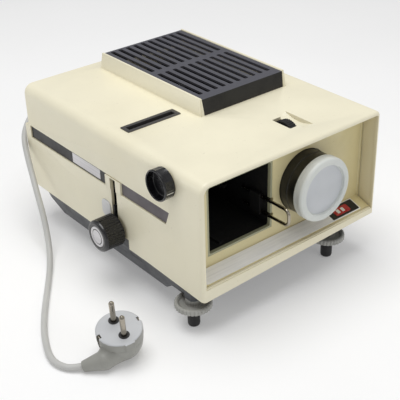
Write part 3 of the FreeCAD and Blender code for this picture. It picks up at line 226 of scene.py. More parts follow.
MAT = {
    "cream": plastic("cream", rgb(238, 232, 207), 0.36, mottle=0.02, crevice_shade=0.1, specks=0.12,
                     tint=rgb(234, 225, 194), crevice_shade_colour=(0.22, 0.17, 0.09, 1.0),
                     recess_shade_colour=rgb(206, 190, 142)),
    # The recessed panel's cream is darker and yellower than the hood's: partly its own tint, partly painted
    # shade of the recess.
    "panel": plastic("panel_cream", rgb(228, 217, 171), 0.36, mottle=0.04, crevice_shade=0.15, specks=0.2,
                     tint=rgb(214, 199, 148), crevice_shade_colour=(0.18, 0.13, 0.06, 1.0)),
    "slate": plastic("slate_grille", rgb(76, 76, 84), 0.5, mottle=0.05, crevice_shade=0.5),
    # Darker copy of the grille slate for its sloping front and rear faces: painted shade.
    "slate_shaded_slope": plastic("slate_slope_painted_shade", rgb(24, 23, 23), 0.6, mottle=0.06, crevice_shade=0.3),
    "black_gloss": plastic("black_gloss", rgb(13, 13, 17), 0.3, grain=500.0, mottle=0.05, crevice_shade=0.0,
                           coat=0.3),
    "black_matte": plastic("black_matte", rgb(17, 17, 17), 0.62, mottle=0.1, crevice_shade=0.0),
    # Near-black for the tray channel and the bail bracket: painted shadow, making the inside of the tray
    # opening read as dark.
    "void": plastic("painted_shadow_black", rgb(7, 7, 7), 0.9, mottle=0.1, crevice_shade=0.0),
    "bezel": plastic("bezel_grey", rgb(62, 60, 60), 0.45, mottle=0.06, crevice_shade=0.3),
    "tub": plastic("tub_grey", rgb(80, 82, 86), 0.55, mottle=0.06, crevice_shade=0.4),
    "button": plastic("button_grey", rgb(218, 218, 218), 0.36, mottle=0.03, crevice_shade=0.3),
    "frame_grey": plastic("frame_grey", rgb(168, 168, 140), 0.5, mottle=0.05, crevice_shade=0.4),
    "foot_grey": plastic("foot_grey", rgb(172, 172, 167), 0.5, mottle=0.08, crevice_shade=0.6),
    "rubber": plastic("rubber_black", rgb(24, 24, 25), 0.55, mottle=0.1, crevice_shade=0.0),
    "barrel": plastic("barrel_black", rgb(14, 13, 12), 0.4, grain=400.0, mottle=0.1, crevice_shade=0.0, coat=0.1),
    "label_dark": plastic("label_dark", rgb(94, 88, 92), 0.5, mottle=0.03, crevice_shade=0.0),
    "label_black": plastic("label_black", rgb(24, 23, 24), 0.45, mottle=0.04, crevice_shade=0.0),
    "label_white": plastic("label_white", rgb(226, 224, 216), 0.36, mottle=0.03, crevice_shade=0.0),
    "emblem_red": plastic("emblem_red", rgb(172, 36, 42), 0.3, mottle=0.04, crevice_shade=0.0, coat=0.5),
    "cord": plastic("cord_grey", rgb(196, 196, 193), 0.42, grain=1500.0, mottle=0.03, crevice_shade=0.2),
    "plug": plastic("plug_grey", rgb(196, 198, 201), 0.4, mottle=0.05, crevice_shade=0.45,
                    crevice_shade_colour=(0.10, 0.09, 0.06, 1.0)),
    # Darker copy of the plug grey for the plug's sides: painted shade.
    "plug_shaded_side": plastic("plug_grey_painted_shade", rgb(158, 158, 152), 0.4, mottle=0.08, crevice_shade=0.45,
                        tint=rgb(140, 140, 130), crevice_shade_colour=(0.10, 0.09, 0.06, 1.0)),
    "ceramic": plastic("ceramic", rgb(220, 214, 198), 0.35, mottle=0.04),
    "fan": plastic("fan_grey", rgb(70, 72, 76), 0.5),
    "copper": brushed("copper", rgb(170, 96, 50), 0.4, (1, 0.05, 1)),
    "silver_x": brushed("silver_along_x", rgb(250, 249, 246), 0.5, (0.02, 1, 1), metallic=0.0, tarnish=0.06),
    "silver_y": brushed("silver_along_y", rgb(224, 222, 224), 0.42, (1, 0.02, 1), metallic=0.3),
    "steel": brushed("steel", rgb(186, 186, 188), 0.3, (0.02, 1, 1)),
    "nickel": brushed("nickel", rgb(178, 170, 156), 0.2, (1, 0.1, 1), depth=0.00001),
    "sheet": brushed("sheet_metal", rgb(170, 170, 172), 0.4, (0.05, 1, 1)),
    "dark_metal": brushed("dark_metal", rgb(44, 44, 46), 0.5, (0.05, 1, 1)),
    "iron": brushed("iron", rgb(86, 88, 92), 0.5, (1, 1, 0.05)),
}


def cap_plastic(name, light, dark):
    """Milky polythene that lets a little light in."""
    s = Shader(name)
    cloud = s.noise(22.0, 3.0)
    base = s.mix(s.ramp(cloud, 0.3, 0.7), dark, light)
    s.set(Base_Color=base, Roughness=0.4, Subsurface_Weight=0.35, Subsurface_Radius=(0.004, 0.004, 0.004),
          Subsurface_Scale=1.0)
    return s.bump(s.noise(500.0, 2.0), 0.2, 0.00003).material


def glass(name, tint):
    s = Shader(name)
    s.set(Base_Color=tint, Roughness=0.03, Transmission_Weight=1.0, IOR=1.5)
    return s.bump(s.noise(20.0, 1.0), 0.05, 0.00002).material


MAT["cap_ring"] = cap_plastic("milky_cap", rgb(216, 219, 215), rgb(205, 209, 206))
MAT["cap_disc"] = cap_plastic("milky_disc", rgb(204, 207, 211), rgb(194, 198, 202))
MAT["glass"] = glass("optical_glass", (0.93, 0.97, 1.0, 1.0))


# ---- building helpers ----------------------------------------------------------------------
def shown(name, mesh, body, material, replaces=(), smooth=35.0):
    """Adds a mesh as a finished piece that rides on a body and stands for the CAD nodes named."""
    obj = bpy.data.objects.new(name, mesh)
    bpy.context.scene.collection.objects.link(obj)
    if len(mesh.materials):
        mesh.materials.clear()
    for one in material if isinstance(material, (list, tuple)) else [material]:
        mesh.materials.append(MAT[one])
    mesh.shade_smooth()
    mesh.set_sharp_from_angle(angle=math.radians(smooth))
    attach(obj, body)
    if replaces:
        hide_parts(*replaces)
    return obj


def eased(obj, width, segments=3):
    """Rounds every sharp edge of a piece."""
    ease = obj.modifiers.new("eased_edges", "BEVEL")
    ease.width = width * MM
    ease.segments = segments
    ease.limit_method = "ANGLE"
    ease.angle_limit = math.radians(SHARP_ANGLE)
    ease.harden_normals = True
    ease.miter_outer = "MITER_ARC"
    return obj


def softened(node, name, material, width=0.5, body="chassis", plain=False):
    """A CAD shell with its doubled corners merged and every edge eased; a plain one has its flat
    facets joined first."""
    mesh = NODES[node].data.copy()
    made = bmesh.new()
    made.from_mesh(mesh)
    bmesh.ops.remove_doubles(made, verts=made.verts, dist=0.00001)
    bmesh.ops.dissolve_degenerate(made, dist=0.00001, edges=made.edges)
    bmesh.ops.recalc_face_normals(made, faces=made.faces)
    if plain:
        bmesh.ops.dissolve_limit(made, angle_limit=math.radians(0.5), verts=made.verts, edges=made.edges)
    for face in made.faces:
        face.material_index = 0
    made.to_mesh(mesh)
    made.free()
    return eased(shown(name, mesh, body, material, (node,), smooth=SHARP_ANGLE), width)


def kept(node, material):
    """A CAD node that stays as it is, with a finished material."""
    data = NODES[node].data
    data.materials.clear()
    data.materials.append(MAT[material])
    data.shade_smooth()
    data.set_sharp_from_angle(angle=math.radians(SHARP_ANGLE))


def rounded(points, steps=5):
    """Profile with its corners rounded: points are (along, radius, corner radius)."""
    line = []
    for index, (a, r, corner) in enumerate(points):
        here = Vector((a, r))
        if corner <= 0 or index in (0, len(points) - 1):
            line.append(here)
            continue
        before = Vector(points[index - 1][:2]) - here
        after = Vector(points[index + 1][:2]) - here
        half = before.angle(after) / 2
        reach = min(corner / math.tan(half), 0.49 * before.length, 0.49 * after.length)
        start, end = here + before.normalized() * reach, here + after.normalized() * reach
        for step in range(steps + 1):
            t = step / steps
            line.append((1 - t) ** 2 * start + 2 * t * (1 - t) * here + t * t * end)
    return line


def finished(made, name):
    """Mesh of a finished bmesh, its normals pointing outwards."""
    bmesh.ops.recalc_face_normals(made, faces=made.faces)
    mesh = bpy.data.meshes.new(name)
    made.to_mesh(mesh)
    made.free()
    return mesh


def turned(profile, origin, axis, steps=96, shape=None, paint=None):
    """Mesh of a profile turned about an axis; shape(along, radius, angle) is added to the radius, and
    paint(along, radius) picks each face's material."""
    axis = Vector(axis).normalized()
    side = Vector((0, 0, 1)) if abs(axis.z) < 0.5 else Vector((1, 0, 0))
    side = (side - axis * side.dot(axis)).normalized()
    other = axis.cross(side)
    base = at(*origin)
    made = bmesh.new()
    rings = []
    for a, r in profile:
        if r < 1e-4:
            rings.append([made.verts.new(base + axis * a * MM)])
            continue
        ring = []
        for step in range(steps):
            angle = 2 * math.pi * step / steps
            radius = r + (shape(a, r, angle) if shape else 0.0)
            around = side * math.cos(angle) + other * math.sin(angle)
            ring.append(made.verts.new(base + (axis * a + around * radius) * MM))
        rings.append(ring)
    for (first, second), (near, far) in zip(zip(rings, rings[1:]), zip(profile, profile[1:])):
        look = paint((near[0] + far[0]) / 2, (near[1] + far[1]) / 2) if paint else 0
        for step in range(steps):
            nxt = (step + 1) % steps
            corners = [first[step % len(first)], first[nxt % len(first)], second[nxt % len(second)],
                       second[step % len(second)]]
            corners = [v for i, v in enumerate(corners) if v not in corners[:i]]
            if len(corners) > 2:
                made.faces.new(corners).material_index = look
    return finished(made, "turned")


def close_ring(mesh):
    """Joins the first and last ring of a hollow turned shape."""
    made = bmesh.new()
    made.from_mesh(mesh)
    bmesh.ops.remove_doubles(made, verts=made.verts, dist=0.000001)
    bmesh.ops.recalc_face_normals(made, faces=made.faces)
    made.to_mesh(mesh)
    made.free()


def ribs(count, depth, low, high, sharp):
    """Shape function: grooves between count ribs, only between two places along the axis."""
    def shape(a, r, angle):
        if not low <= a <= high:
            return 0.0
        wave = 0.5 - 0.5 * math.cos(count * angle)
        return -depth * wave ** sharp
    return shape


def flats(count, apothem, low, high):
    """Shape function: count flats cut into a round, only between two places along the axis."""
    def shape(a, r, angle):
        if not low <= a <= high:
            return 0.0
        sector = 2 * math.pi / count
        offset = angle % sector - sector / 2
        return min(0.0, apothem / math.cos(offset) - r)
    return shape


def slab(outline, lift, place):
    """Closed plate: an outline of (u, v) points, from one height to another, put in place by a function."""
    made = bmesh.new()
    low = [made.verts.new(place(u, v, lift[0])) for u, v in outline]
    high = [made.verts.new(place(u, v, lift[1])) for u, v in outline]
    made.faces.new(low[::-1])
    made.faces.new(high)
    for i in range(len(outline)):
        j = (i + 1) % len(outline)
        made.faces.new((low[i], low[j], high[j], high[i]))
    return finished(made, "slab")


def rectangle(u, v, radii, steps=6):
    """Outline of a rectangle with its corners rounded: radii from the low-u, low-v corner, anticlockwise."""
    centres = ((u[0], v[0], 1, 1, 180), (u[1], v[0], -1, 1, 270), (u[1], v[1], -1, -1, 0),
               (u[0], v[1], 1, -1, 90))
    line = []
    for (cu, cv, su, sv, start), radius in zip(centres, radii):
        if radius <= 0:
            line.append((cu, cv))
            continue
        for step in range(steps + 1):
            angle = math.radians(start + 90 * step / steps)
            line.append((cu + su * radius + radius * math.cos(angle),
                         cv + sv * radius + radius * math.sin(angle)))
    return line


def corner_bead(side):
    """Hollow rounding between the recessed panel and the wall of the hood."""
    wall, panel, radius, ends = 102.5, -119.5, 1.8, (56.3, 147.3)
    line = [(wall + 0.1, panel + 0.1)]
    for step in range(9):
        angle = math.radians(90 - 90 * step / 8)
        line.append((wall - radius + radius * math.cos(angle), panel - radius + radius * math.sin(angle)))
    bead = slab([(side * u, v) for u, v in line], ends, at)
    shown("corner_bead_%s" % ("left" if side < 0 else "right"), bead, "chassis", "panel")


def merged(meshes):
    """One mesh of several."""
    made = bmesh.new()
    for mesh in meshes:
        made.from_mesh(mesh)
    mesh = bpy.data.meshes.new("merged")
    made.to_mesh(mesh)
    made.free()
    return mesh


def moulded(meshes, cutters, voxel, passes):
    """Overlapping closed shapes blended into one soft moulding, with the cutters taken out."""
    scene = bpy.context.scene.collection.objects
    body = bpy.data.objects.new("moulding_source", merged(meshes))
    scene.link(body)
    skin = body.modifiers.new("skin", "REMESH")
    skin.mode = "VOXEL"
    skin.voxel_size = voxel * MM
    relax = body.modifiers.new("relax", "SMOOTH")
    relax.factor = 0.5
    relax.iterations = passes
    tools = []
    for mesh in cutters:
        tool = bpy.data.objects.new("moulding_cutter", mesh)
        scene.link(tool)
        tools.append(tool)
        cut = body.modifiers.new("cut", "BOOLEAN")
        cut.operation = "DIFFERENCE"
        cut.solver = "EXACT"
        cut.object = tool
    graph = bpy.context.evaluated_depsgraph_get()
    mesh = bpy.data.meshes.new_from_object(body.evaluated_get(graph))
    for obj in [body] + tools:
        bpy.data.objects.remove(obj)
    return mesh


# ---- shells --------------------------------------------------------------------------------
softened("upper_housing", "hood_shell", "cream", 0.7)
softened("front_panel", "recessed_panel", "panel", 0.5)
for side in (-1, 1):
    corner_bead(side)
softened("rear_cover", "back_cover", "cream", 0.6, plain=True)
softened("base_tub", "base_tray", "tub", 0.8)
softened("slide_slot_bezel", "slot_bezel", "bezel", 0.3)
softened("tray_port_frame", "port_frame", "frame_grey", 0.4)
# The tray channel is near-black: painted shadow inside the opening.
softened("tray_tunnel", "tray_channel", "void", 0.3)
softened("side_button", "push_button", "button", 0.6, body="button")


# ---- vent grille ---------------------------------------------------------------------------
def grille():
    """Bent sheet with two groups of ten slots and sloping front and rear faces."""
    (x_low, y_low, base), (x_high, y_high, top) = box_mm("vent_grille")
    sheet, lean, taper = 2.2, 2.4, 0.02
    front_wall, rear_wall = 2.6, 2.4
    slots, pitch, half, corner, arc = 10, 9.25, 2.3, 1.6, 4
    groups = ((-27.0, 38.0), (46.0, 116.5))
    middle = (x_low + x_high) / 2
    centres = [middle + (i - (slots - 1) / 2) * pitch for i in range(slots)]
    steps = (-half, -half + corner, half - corner, half)
    columns = [x_low] + [c + d for c in centres for d in steps] + [x_high]
    inner_rows = [y + d for y0, y1 in groups for y, d in ((y0, 0), (y0, corner), (y1, -corner), (y1, 0))]
    outer = [(y_low, base), (y_low + lean, top)] + [(y, top) for y in inner_rows]
    outer += [(y_high - lean, top), (y_high, base)]
    inner = [(y_low + front_wall, base), (y_low + 2 * lean, top - sheet)]
    inner += [(y, top - sheet) for y in inner_rows]
    inner += [(y_high - lean - sheet, top - sheet), (y_high - rear_wall, base)]

    def place(x, y, z):
        narrow = 1.0 - taper * (top - z) / (top - base)
        return at(middle + (x - middle) * narrow, y, z)

    made = bmesh.new()
    skins = [[[made.verts.new(place(x, y, z)) for x in columns] for y, z in rows] for rows in (outer, inner)]

    def kind(row, column):
        """How a cell lies to its slot: None outside, or its column and row in the slot, 0 to 2."""
        in_x, in_y = (column - 1) % 4, (row - 2) % 4
        if not 1 <= column < len(columns) - 2 or not 2 <= row < len(outer) - 3 or in_x > 2 or in_y > 2:
            return None
        return in_x, in_y

    last_row, last_column = len(outer) - 2, len(columns) - 2
    for row in range(len(outer) - 1):
        # The sloping front and rear faces take material 1, the darker slate: painted shade.
        slope = row in (0, last_row)
        for column in range(len(columns) - 1):
            where = kind(row, column)
            if where is not None and where not in ((0, 0), (2, 0), (0, 2), (2, 2)):
                continue
            if where is None:
                for skin, flip in zip(skins, (1, -1)):
                    quad = [skin[row][column], skin[row][column + 1], skin[row + 1][column + 1],
                            skin[row + 1][column]]
                    made.faces.new(quad[::flip]).material_index = 1 if slope else 0
                continue
            left, near = where[0] == 0, where[1] == 0
            tip = (row if near else row + 1, column if left else column + 1)
            along_x = (tip[0], column + 1 if left else column)
            along_y = (row + 1 if near else row, tip[1])
            arcs = []
            for skin, rows in zip(skins, (outer, inner)):
                cx, cy = columns[along_x[1]], rows[along_y[0]][0]
                z = rows[tip[0]][1]
                sx, sy = (-1 if left else 1), (-1 if near else 1)
                points = [skin[along_x[0]][along_x[1]]]
                for step in range(1, arc):
                    angle = math.pi / 2 * step / arc
                    points.append(made.verts.new(place(cx + sx * corner * math.sin(angle),
                                                       cy + sy * corner * math.cos(angle), z)))
                points.append(skin[along_y[0]][along_y[1]])
                arcs.append(points)
                made.faces.new([skin[tip[0]][tip[1]]] + points)
            for i in range(arc):
                made.faces.new((arcs[0][i], arcs[0][i + 1], arcs[1][i + 1], arcs[1][i]))

    def wall(a, b):
        made.faces.new((skins[0][a[0]][a[1]], skins[0][b[0]][b[1]], skins[1][b[0]][b[1]],
                        skins[1][a[0]][a[1]]))

    for row in range(len(outer) - 1):
        wall((row, 0), (row + 1, 0))
        wall((row, last_column + 1), (row + 1, last_column + 1))
    for column in range(len(columns) - 1):
        wall((0, column), (0, column + 1))
        wall((last_row + 1, column), (last_row + 1, column + 1))
    for first_row in (2, 6):
        for first in range(1, len(columns) - 2, 4):
            wall((first_row, first + 1), (first_row, first + 2))
            wall((first_row + 3, first + 1), (first_row + 3, first + 2))
            wall((first_row + 1, first), (first_row + 2, first))
            wall((first_row + 1, first + 3), (first_row + 2, first + 3))
    mesh = finished(made, "grille")
    eased(shown("grille_cover", mesh, "grille", ["slate", "slate_shaded_slope"],
                ("vent_grille",)), 0.4)


grille()


# ---- lens ----------------------------------------------------------------------------------
LENS = (28.5, 100.5)
CAP_FRONT, CAP_DEPTH = -147.5, 10.0
BARREL_FRONT = -143.3


def lens():
    x, z = LENS
    cap = rounded([(2.8, 0, 0), (2.8, 23.2, 0.3), (2.3, 23.8, 0.3), (0.5, 24.0, 0.3), (0.0, 24.7, 0.3),
                   (0.0, 27.6, 1.0), (0.7, 29.6, 1.6), (2.6, 30.6, 1.6), (6.9, 30.6, 0.3), (7.1, 30.35, 0.1),
                   (7.5, 30.35, 0.1), (7.7, 30.6, 0.3), (CAP_DEPTH, 30.6, 0.3), (CAP_DEPTH, 29.8, 0.2),
                   (4.0, 29.8, 0.3), (4.0, 0, 0)])
    mesh = turned(cap, (x, CAP_FRONT, z), (0, 1, 0), 144,
                  paint=lambda a, r: 1 if r < 23.4 and a < 3.0 else 0)
    shown("lens_cover", mesh, "cap", ["cap_ring", "cap_disc"], ("lens_cap",))
    back, tube_end = -112.6 - BARREL_FRONT, -50.0 - BARREL_FRONT
    barrel = rounded([(0, 27.3, 0), (0, 29.5, 0.5), (14.0, 29.5, 0.3), (14.3, 29.1, 0.2), (15.1, 29.1, 0.2),
                      (15.4, 29.5, 0.3), (back, 29.5, 0.5), (back, 24.0, 0.3), (tube_end, 24.0, 0.3),
                      (tube_end, 22.0, 0.3), (10.0, 22.0, 0.3), (7.0, 23.5, 0.4)])
    mesh = turned(barrel + [barrel[0]], (x, BARREL_FRONT, z), (0, 1, 0), 144)
    close_ring(mesh)
    shown("barrel_shell", mesh, "lens", "barrel", ("lens_barrel",))
    rack()


def rack():
    """Toothed rack on top of the lens tube, under the focusing pinion."""
    x = (33.0, 40.0)
    y_low, y_high, low, root, tip = -104.0, -84.0, 122.5, 131.8, 133.6
    pitch, first, root_half, tip_half = math.pi, -98.8, 0.86, 0.39
    line = [(y_low, low), (y_high, low), (y_high, root)]
    for index in range(4, -2, -1):
        centre = first + index * pitch
        line += [(centre + root_half, root), (centre + tip_half, tip), (centre - tip_half, tip),
                 (centre - root_half, root)]
    line.append((y_low, root))
    mesh = slab(line, x, lambda y, z, across: at(across, y, z))
    shown("focus_rack", mesh, "lens", "barrel", smooth=20.0)


lens()


# ---- knobs and wheels ----------------------------------------------------------------------
def changer_knob():
    low, high = box_mm("changer_knob")
    front, length = low.x, high.x - low.x
    y, z = (low.y + high.y) / 2, (low.z + high.z) / 2
    outline = rounded([(0.8, 0, 0), (0.8, 10.2, 0.1), (0.2, 10.5, 0.3), (0.0, 12.9, 1.2), (1.0, 15.0, 1.0),
                       (2.6, 15.5, 0.8), (2.9, 15.5, 0), (3.5, 15.5, 0), (length - 0.6, 15.5, 0.0),
                       (length - 0.5, 15.5, 0), (length, 15.0, 0.4), (length, 0, 0)])
    knurls = 34
    mesh = turned(outline, (front, y, z), (1, 0, 0), knurls * 8,
                  ribs(knurls, 0.75, 3.2, length - 0.55, 1.6))
    shown("pull_knob", mesh, "changer", "black_gloss", ("changer_knob",), smooth=40)
    disc = rounded([(0.25, 0, 0), (0.25, 6.8, 0.05), (0.5, 7.0, 0.05), (0.5, 7.6, 0.05), (0.25, 7.8, 0.05),
                    (0.15, 9.6, 0.3), (0.3, 10.0, 0.2), (0.8, 10.0, 0), (0.8, 0, 0)], 2)
    mesh = turned(disc, (front, y, z), (1, 0, 0), 96,
                  paint=lambda a, r: 1 if 6.9 < r < 7.7 and a < 0.7 else 0)
    shown("knob_insert", mesh, "changer", ["silver_y", "label_black"],
          ("changer_knob_disc",))


def switch_knob():
    low, high = box_mm("switch_knob")
    front, length = low.x, high.x - low.x
    y, z = (low.y + high.y) / 2, (low.z + high.z) / 2
    outer, flat, count = 14.1, 13.5, 12
    outline = rounded([(7.2, 0, 0), (7.2, 12.0, 0.8), (0.6, 12.4, 0.3), (0.0, 12.9, 0.3), (0.0, 13.4, 0.4),
                       (0.9, outer, 0.4), (1.15, outer, 0), (1.7, outer, 0), (length - 0.5, outer, 0),
                       (length, outer - 0.5, 0.2), (length, 0, 0)])
    mesh = turned(outline, (front, y, z), (1, 0, 0), count * 16, flats(count, flat, 1.3, length - 0.1))
    shown("lamp_switch", mesh, "switch", "black_gloss", ("switch_knob",), smooth=24)
    toward = math.radians(-16.0)
    reach = flat + 0.02
    normal = Vector((0, -math.cos(toward), math.sin(toward)))
    along = normal.cross(Vector((1, 0, 0)))
    centre = Vector((front, y, z)) + normal * reach

    def place(u, v, lift):
        return at(*(centre + Vector((u, 0, 0)) + along * v + normal * lift))

    mesh = slab(rectangle((2.2, length - 1.4), (-0.35, 0.35), (0.2,) * 4), (-0.3, 0.12), place)
    shown("switch_mark", mesh, "switch", "label_white")
    screw = rounded([(0.0, 0, 0), (0.0, 1.2, 0.3), (0.4, 2.5, 0.4), (1.4, 2.8, 0.2), (1.4, 0, 0)])
    mesh = turned(screw, (front + 5.8, y, z), (1, 0, 0), 48)
    shown("switch_fixing", mesh, "switch", "dark_metal", ("switch_screw",))


def focus_wheel():
    low, high = box_mm("focus_wheel")
    width, radius, knurls = high.x - low.x, (high.z - low.z) / 2, 36
    y, z = (low.y + high.y) / 2, (low.z + high.z) / 2
    outline = rounded([(0, 0, 0), (0, radius - 2.6, 0.4), (0.5, radius - 2.2, 0.2), (0, radius - 1.8, 0.3),
                       (0, radius, 0.5), (width, radius, 0.5), (width, 0, 0)])
    mesh = turned(outline, (low.x, y, z), (1, 0, 0), knurls * 8,
                  ribs(knurls, 0.5, -1.0, width + 1.0, 2.0))
    shown("focus_ring", mesh, "focus", "black_matte", ("focus_wheel",), smooth=40)


def screw_foot(side):
    low, high = box_mm("foot_wheel_" + side)
    x, y, height = (low.x + high.x) / 2, (low.y + high.y) / 2, high.z - low.z
    rim, nut, inner, face, knurls = 16.9, 6.9, 5.7, 6.0, 30
    outline = rounded([(0.2, inner, 0), (0.0, 14.6, 0.6), (0.4, 16.0, 0.4), (1.1, rim, 0.5),
                       (face - 1.1, rim, 0.5), (face - 0.2, 16.0, 0.4), (face, 14.4, 0.5),
                       (face - 0.6, 13.7, 0.5), (face - 2.3, 12.6, 0.8), (face - 2.5, nut + 0.8, 0.8),
                       (face - 1.2, nut, 0.5), (height, nut, 0.2), (height, inner, 0)])
    mesh = turned(outline + [outline[0]], (x, y, low.z), (0, 0, 1), knurls * 10,
                  ribs(knurls, 0.75, 0.35, face - 0.15, 2.4))
    close_ring(mesh)
    shown("levelling_nut_" + side, mesh, side + "_wheel", "foot_grey",
          ("foot_wheel_" + side,), smooth=40)
    post = rounded([(0, 0, 0), (0, 3.4, 0.8), (1.0, 5.2, 1.2), (3.0, 5.6, 0.6), (43.0, 5.6, 0.3),
                    (43.0, 0, 0)])
    mesh = turned(post, (x, y, 0.0), (0, 0, 1), 64)
    shown("foot_pin_" + side, mesh, side + "_post", "rubber", ("foot_post_" + side,))


changer_knob()
switch_knob()
focus_wheel()
for side in ("left", "right"):
    screw_foot(side)


# ---- labels and name plate -----------------------------------------------------------------
def side_label_field():
    """Silver field with a thin border on the black side label."""
    low, high = box_mm("side_label")
    face, margin = low.x, 1.3

    def place(y, z, lift):
        return at(face - lift, y, z)

    heights = (low.z + margin, high.z - margin)
    mesh = slab(rectangle((10.0, 57.0), heights, (0.4,) * 4), (-0.2, 0.1), place)
    shown("label_field", mesh, "chassis", "silver_y")


def name_plate():
    """Brushed plate on the sloping ledge: black end field with a plain two-tone emblem."""
    front_y, front_z, rear_z, depth = -135.5, 51.0, 56.4, 16.0
    slope = math.atan2(rear_z - front_z, depth)
    length = depth / math.cos(slope)

    def place(u, v, lift):
        return at(u, front_y + v * math.cos(slope) - lift * math.sin(slope),
                  front_z + v * math.sin(slope) + lift * math.cos(slope))

    plate = rectangle((-100.5, 92.0), (0.9, length - 0.8), (5.0, 0.6, 0.6, 0.6), 8)
    eased(shown("badge_plate", slab(plate, (0.0, 0.6), place), "chassis", "silver_x",
                ("name_plate",)), 0.12, 2)
    field = slab(rectangle((56.0, 91.0), (1.9, length - 1.7), (0.8,) * 4), (0.5, 0.7), place)
    shown("badge_field", field, "chassis", "label_black")
    emblem = slab(rectangle((62.4, 81.6), (4.0, length - 4.2), (2.0,) * 4), (0.6, 1.15), place)
    eased(shown("badge_emblem", emblem, "chassis", "emblem_red", ("name_plate_emblem",)), 0.15, 2)
    for u in (66.0, 72.0):
        bar = slab(rectangle((u, u + 3.4), (6.0, length - 6.2), (0.6,) * 4), (1.1, 1.25), place)
        shown("badge_bar_%d" % u, bar, "chassis", "label_white")


def ledge_lip():
    """Strip of the hood's lower edge that closes the step in front of the label ledge."""
    strip = slab(rectangle((-102.3, 102.3), (-138.3, -135.6), (0.8,) * 4), (49.2, 50.7), at)
    eased(shown("ledge_lip", strip, "chassis", "cream"), 0.5)


side_label_field()
name_plate()
ledge_lip()


# ---- mains lead ----------------------------------------------------------------------------
CORD_RADIUS = 3.0
CORD_ROUTE = [
    (0.0, 165.0, 97.0), (0.0, 184.0, 97.0), (-10.9, 200.8, 96.2), (-29.2, 208.9, 95.2),
    (-48.9, 205.8, 94.6), (-66.5, 193.0, 94.4), (-83.0, 176.8, 94.4), (-97.0, 161.5, 93.2),
    (-108.0, 147.5, 88.5), (-114.5, 132.0, 77.0), (-119.8, 116.0, 63.0), (-125.5, 99.5, 51.0),
    (-130.0, 84.5, 37.0), (-134.2, 72.5, 21.5), (-141.0, 58.5, 8.3), (-152.0, 41.0, 3.4),
    (-165.0, 22.0, 3.2), (-178.0, 4.0, 3.2), (-191.0, -14.5, 3.2), (-203.0, -33.0, 3.2),
    (-212.0, -49.5, 3.2), (-221.4, -72.0, 3.2), (-222.2, -86.7, 3.2), (-215.2, -100.3, 3.3),
    (-200.6, -108.7, 6.8),
]
FACE_AT = Vector((-173.3, -109.5, 30.6))
FACE_TILT, FACE_LEAN, PIN_HEADING = (math.radians(a) for a in (10.0, 225.0, 81.0))
PIN_GAP, PIN_LENGTH = 19.0, 22.5
BOOT = (((-208.4, -104.2, 4.9), 4.5), ((-192.0, -113.5, 9.0), 8.8), ((-178.0, -112.0, 13.4), 12.6))


def plug():
    """Angled earthed plug: one soft moulding with its boot, two pins in dark collars."""
    normal = Vector((math.sin(FACE_TILT) * math.cos(FACE_LEAN), math.sin(FACE_TILT) * math.sin(FACE_LEAN),
                     math.cos(FACE_TILT)))
    across = Vector((math.cos(PIN_HEADING), math.sin(PIN_HEADING), 0))
    across = (across - normal * across.dot(normal)).normalized()
    side = across.cross(normal)

    def place(u, v, lift):
        return at(*(FACE_AT + side * u + across * v + normal * lift))

    back = rounded([(0, 0, 0), (0, 19.0, 0.3), (-0.8, 20.0, 0.8), (-8.0, 20.0, 0.3), (-8.2, 19.2, 0.2),
                    (-9.0, 19.2, 0.2), (-9.3, 19.6, 0.3), (-12.0, 19.5, 0.5), (-18.0, 18.7, 3.0),
                    (-23.6, 16.3, 3.0), (-27.3, 12.6, 3.0), (-29.4, 8.0, 2.0), (-29.9, 0, 0)])
    shapes = [turned(back, FACE_AT, normal, 160)]
    for (near, near_r), (far, far_r) in zip(BOOT, BOOT[1:]):
        along = Vector(far) - Vector(near)
        reach = along.length
        cone = [(0, 0), (0, near_r), (reach, far_r), (reach, 0)]
        shapes.append(turned(cone, near, along, 64))
        turns = [math.radians(a) for a in range(180, -1, -12)]
        ball = [(far_r * math.cos(a), far_r * math.sin(a)) for a in turns]
        shapes.append(turned(ball, far, (0, 0, 1), 64))
    shapes.append(slab(rectangle((-4.5, 4.5), (-20.9, -15.0), (1.0,) * 4), (-8.2, -0.6), place))
    rim = 20.0
    notches = [slab(rectangle((s * rim - 3.0, s * rim + 3.0), (-2.3, 2.3), (0.3,) * 4), (-13.0, 1.0),
                    place) for s in (-1, 1)]
    mesh = moulded(shapes, notches, 0.45, 4)
    # Painted shade: faces of the moulding that lie below its face plane take the darker grey, standing for
    # the shade on the plug's sides.
    face, shaded_below = at(*FACE_AT), -0.9 * MM
    for polygon in mesh.polygons:
        polygon.material_index = 1 if (polygon.center - face).dot(normal) < shaded_below else 0
    body = shown("plug_moulding", mesh, "chassis", ["plug", "plug_shaded_side"],
                 ("plug_body", "plug_boot"), smooth=40)
    pieces = [body]
    for index, s in enumerate((1, -1)):
        foot = FACE_AT + across * (s * PIN_GAP / 2)
        pin = rounded([(-5.0, 0, 0), (-5.0, 2.4, 0), (PIN_LENGTH - 1.9, 2.4, 0.8),
                       (PIN_LENGTH - 0.5, 1.5, 0.6), (PIN_LENGTH, 0.6, 0.3), (PIN_LENGTH, 0, 0)])
        pieces.append(shown("plug_pin_%d" % (index + 1), turned(pin, foot, normal, 48), "chassis", "nickel",
                            ("plug_pins",) if index == 0 else ()))
        collar = rounded([(-0.5, 0, 0), (-0.5, 4.7, 0), (0.4, 4.7, 0.3), (0.5, 3.0, 0.3), (0.1, 2.3, 0.1),
                          (0.1, 0, 0)])
        pieces.append(shown("pin_collar_%d" % (index + 1), turned(collar, foot, normal, 64), "chassis",
                            "rubber"))
    return pieces + ["plug_earth_clips"]


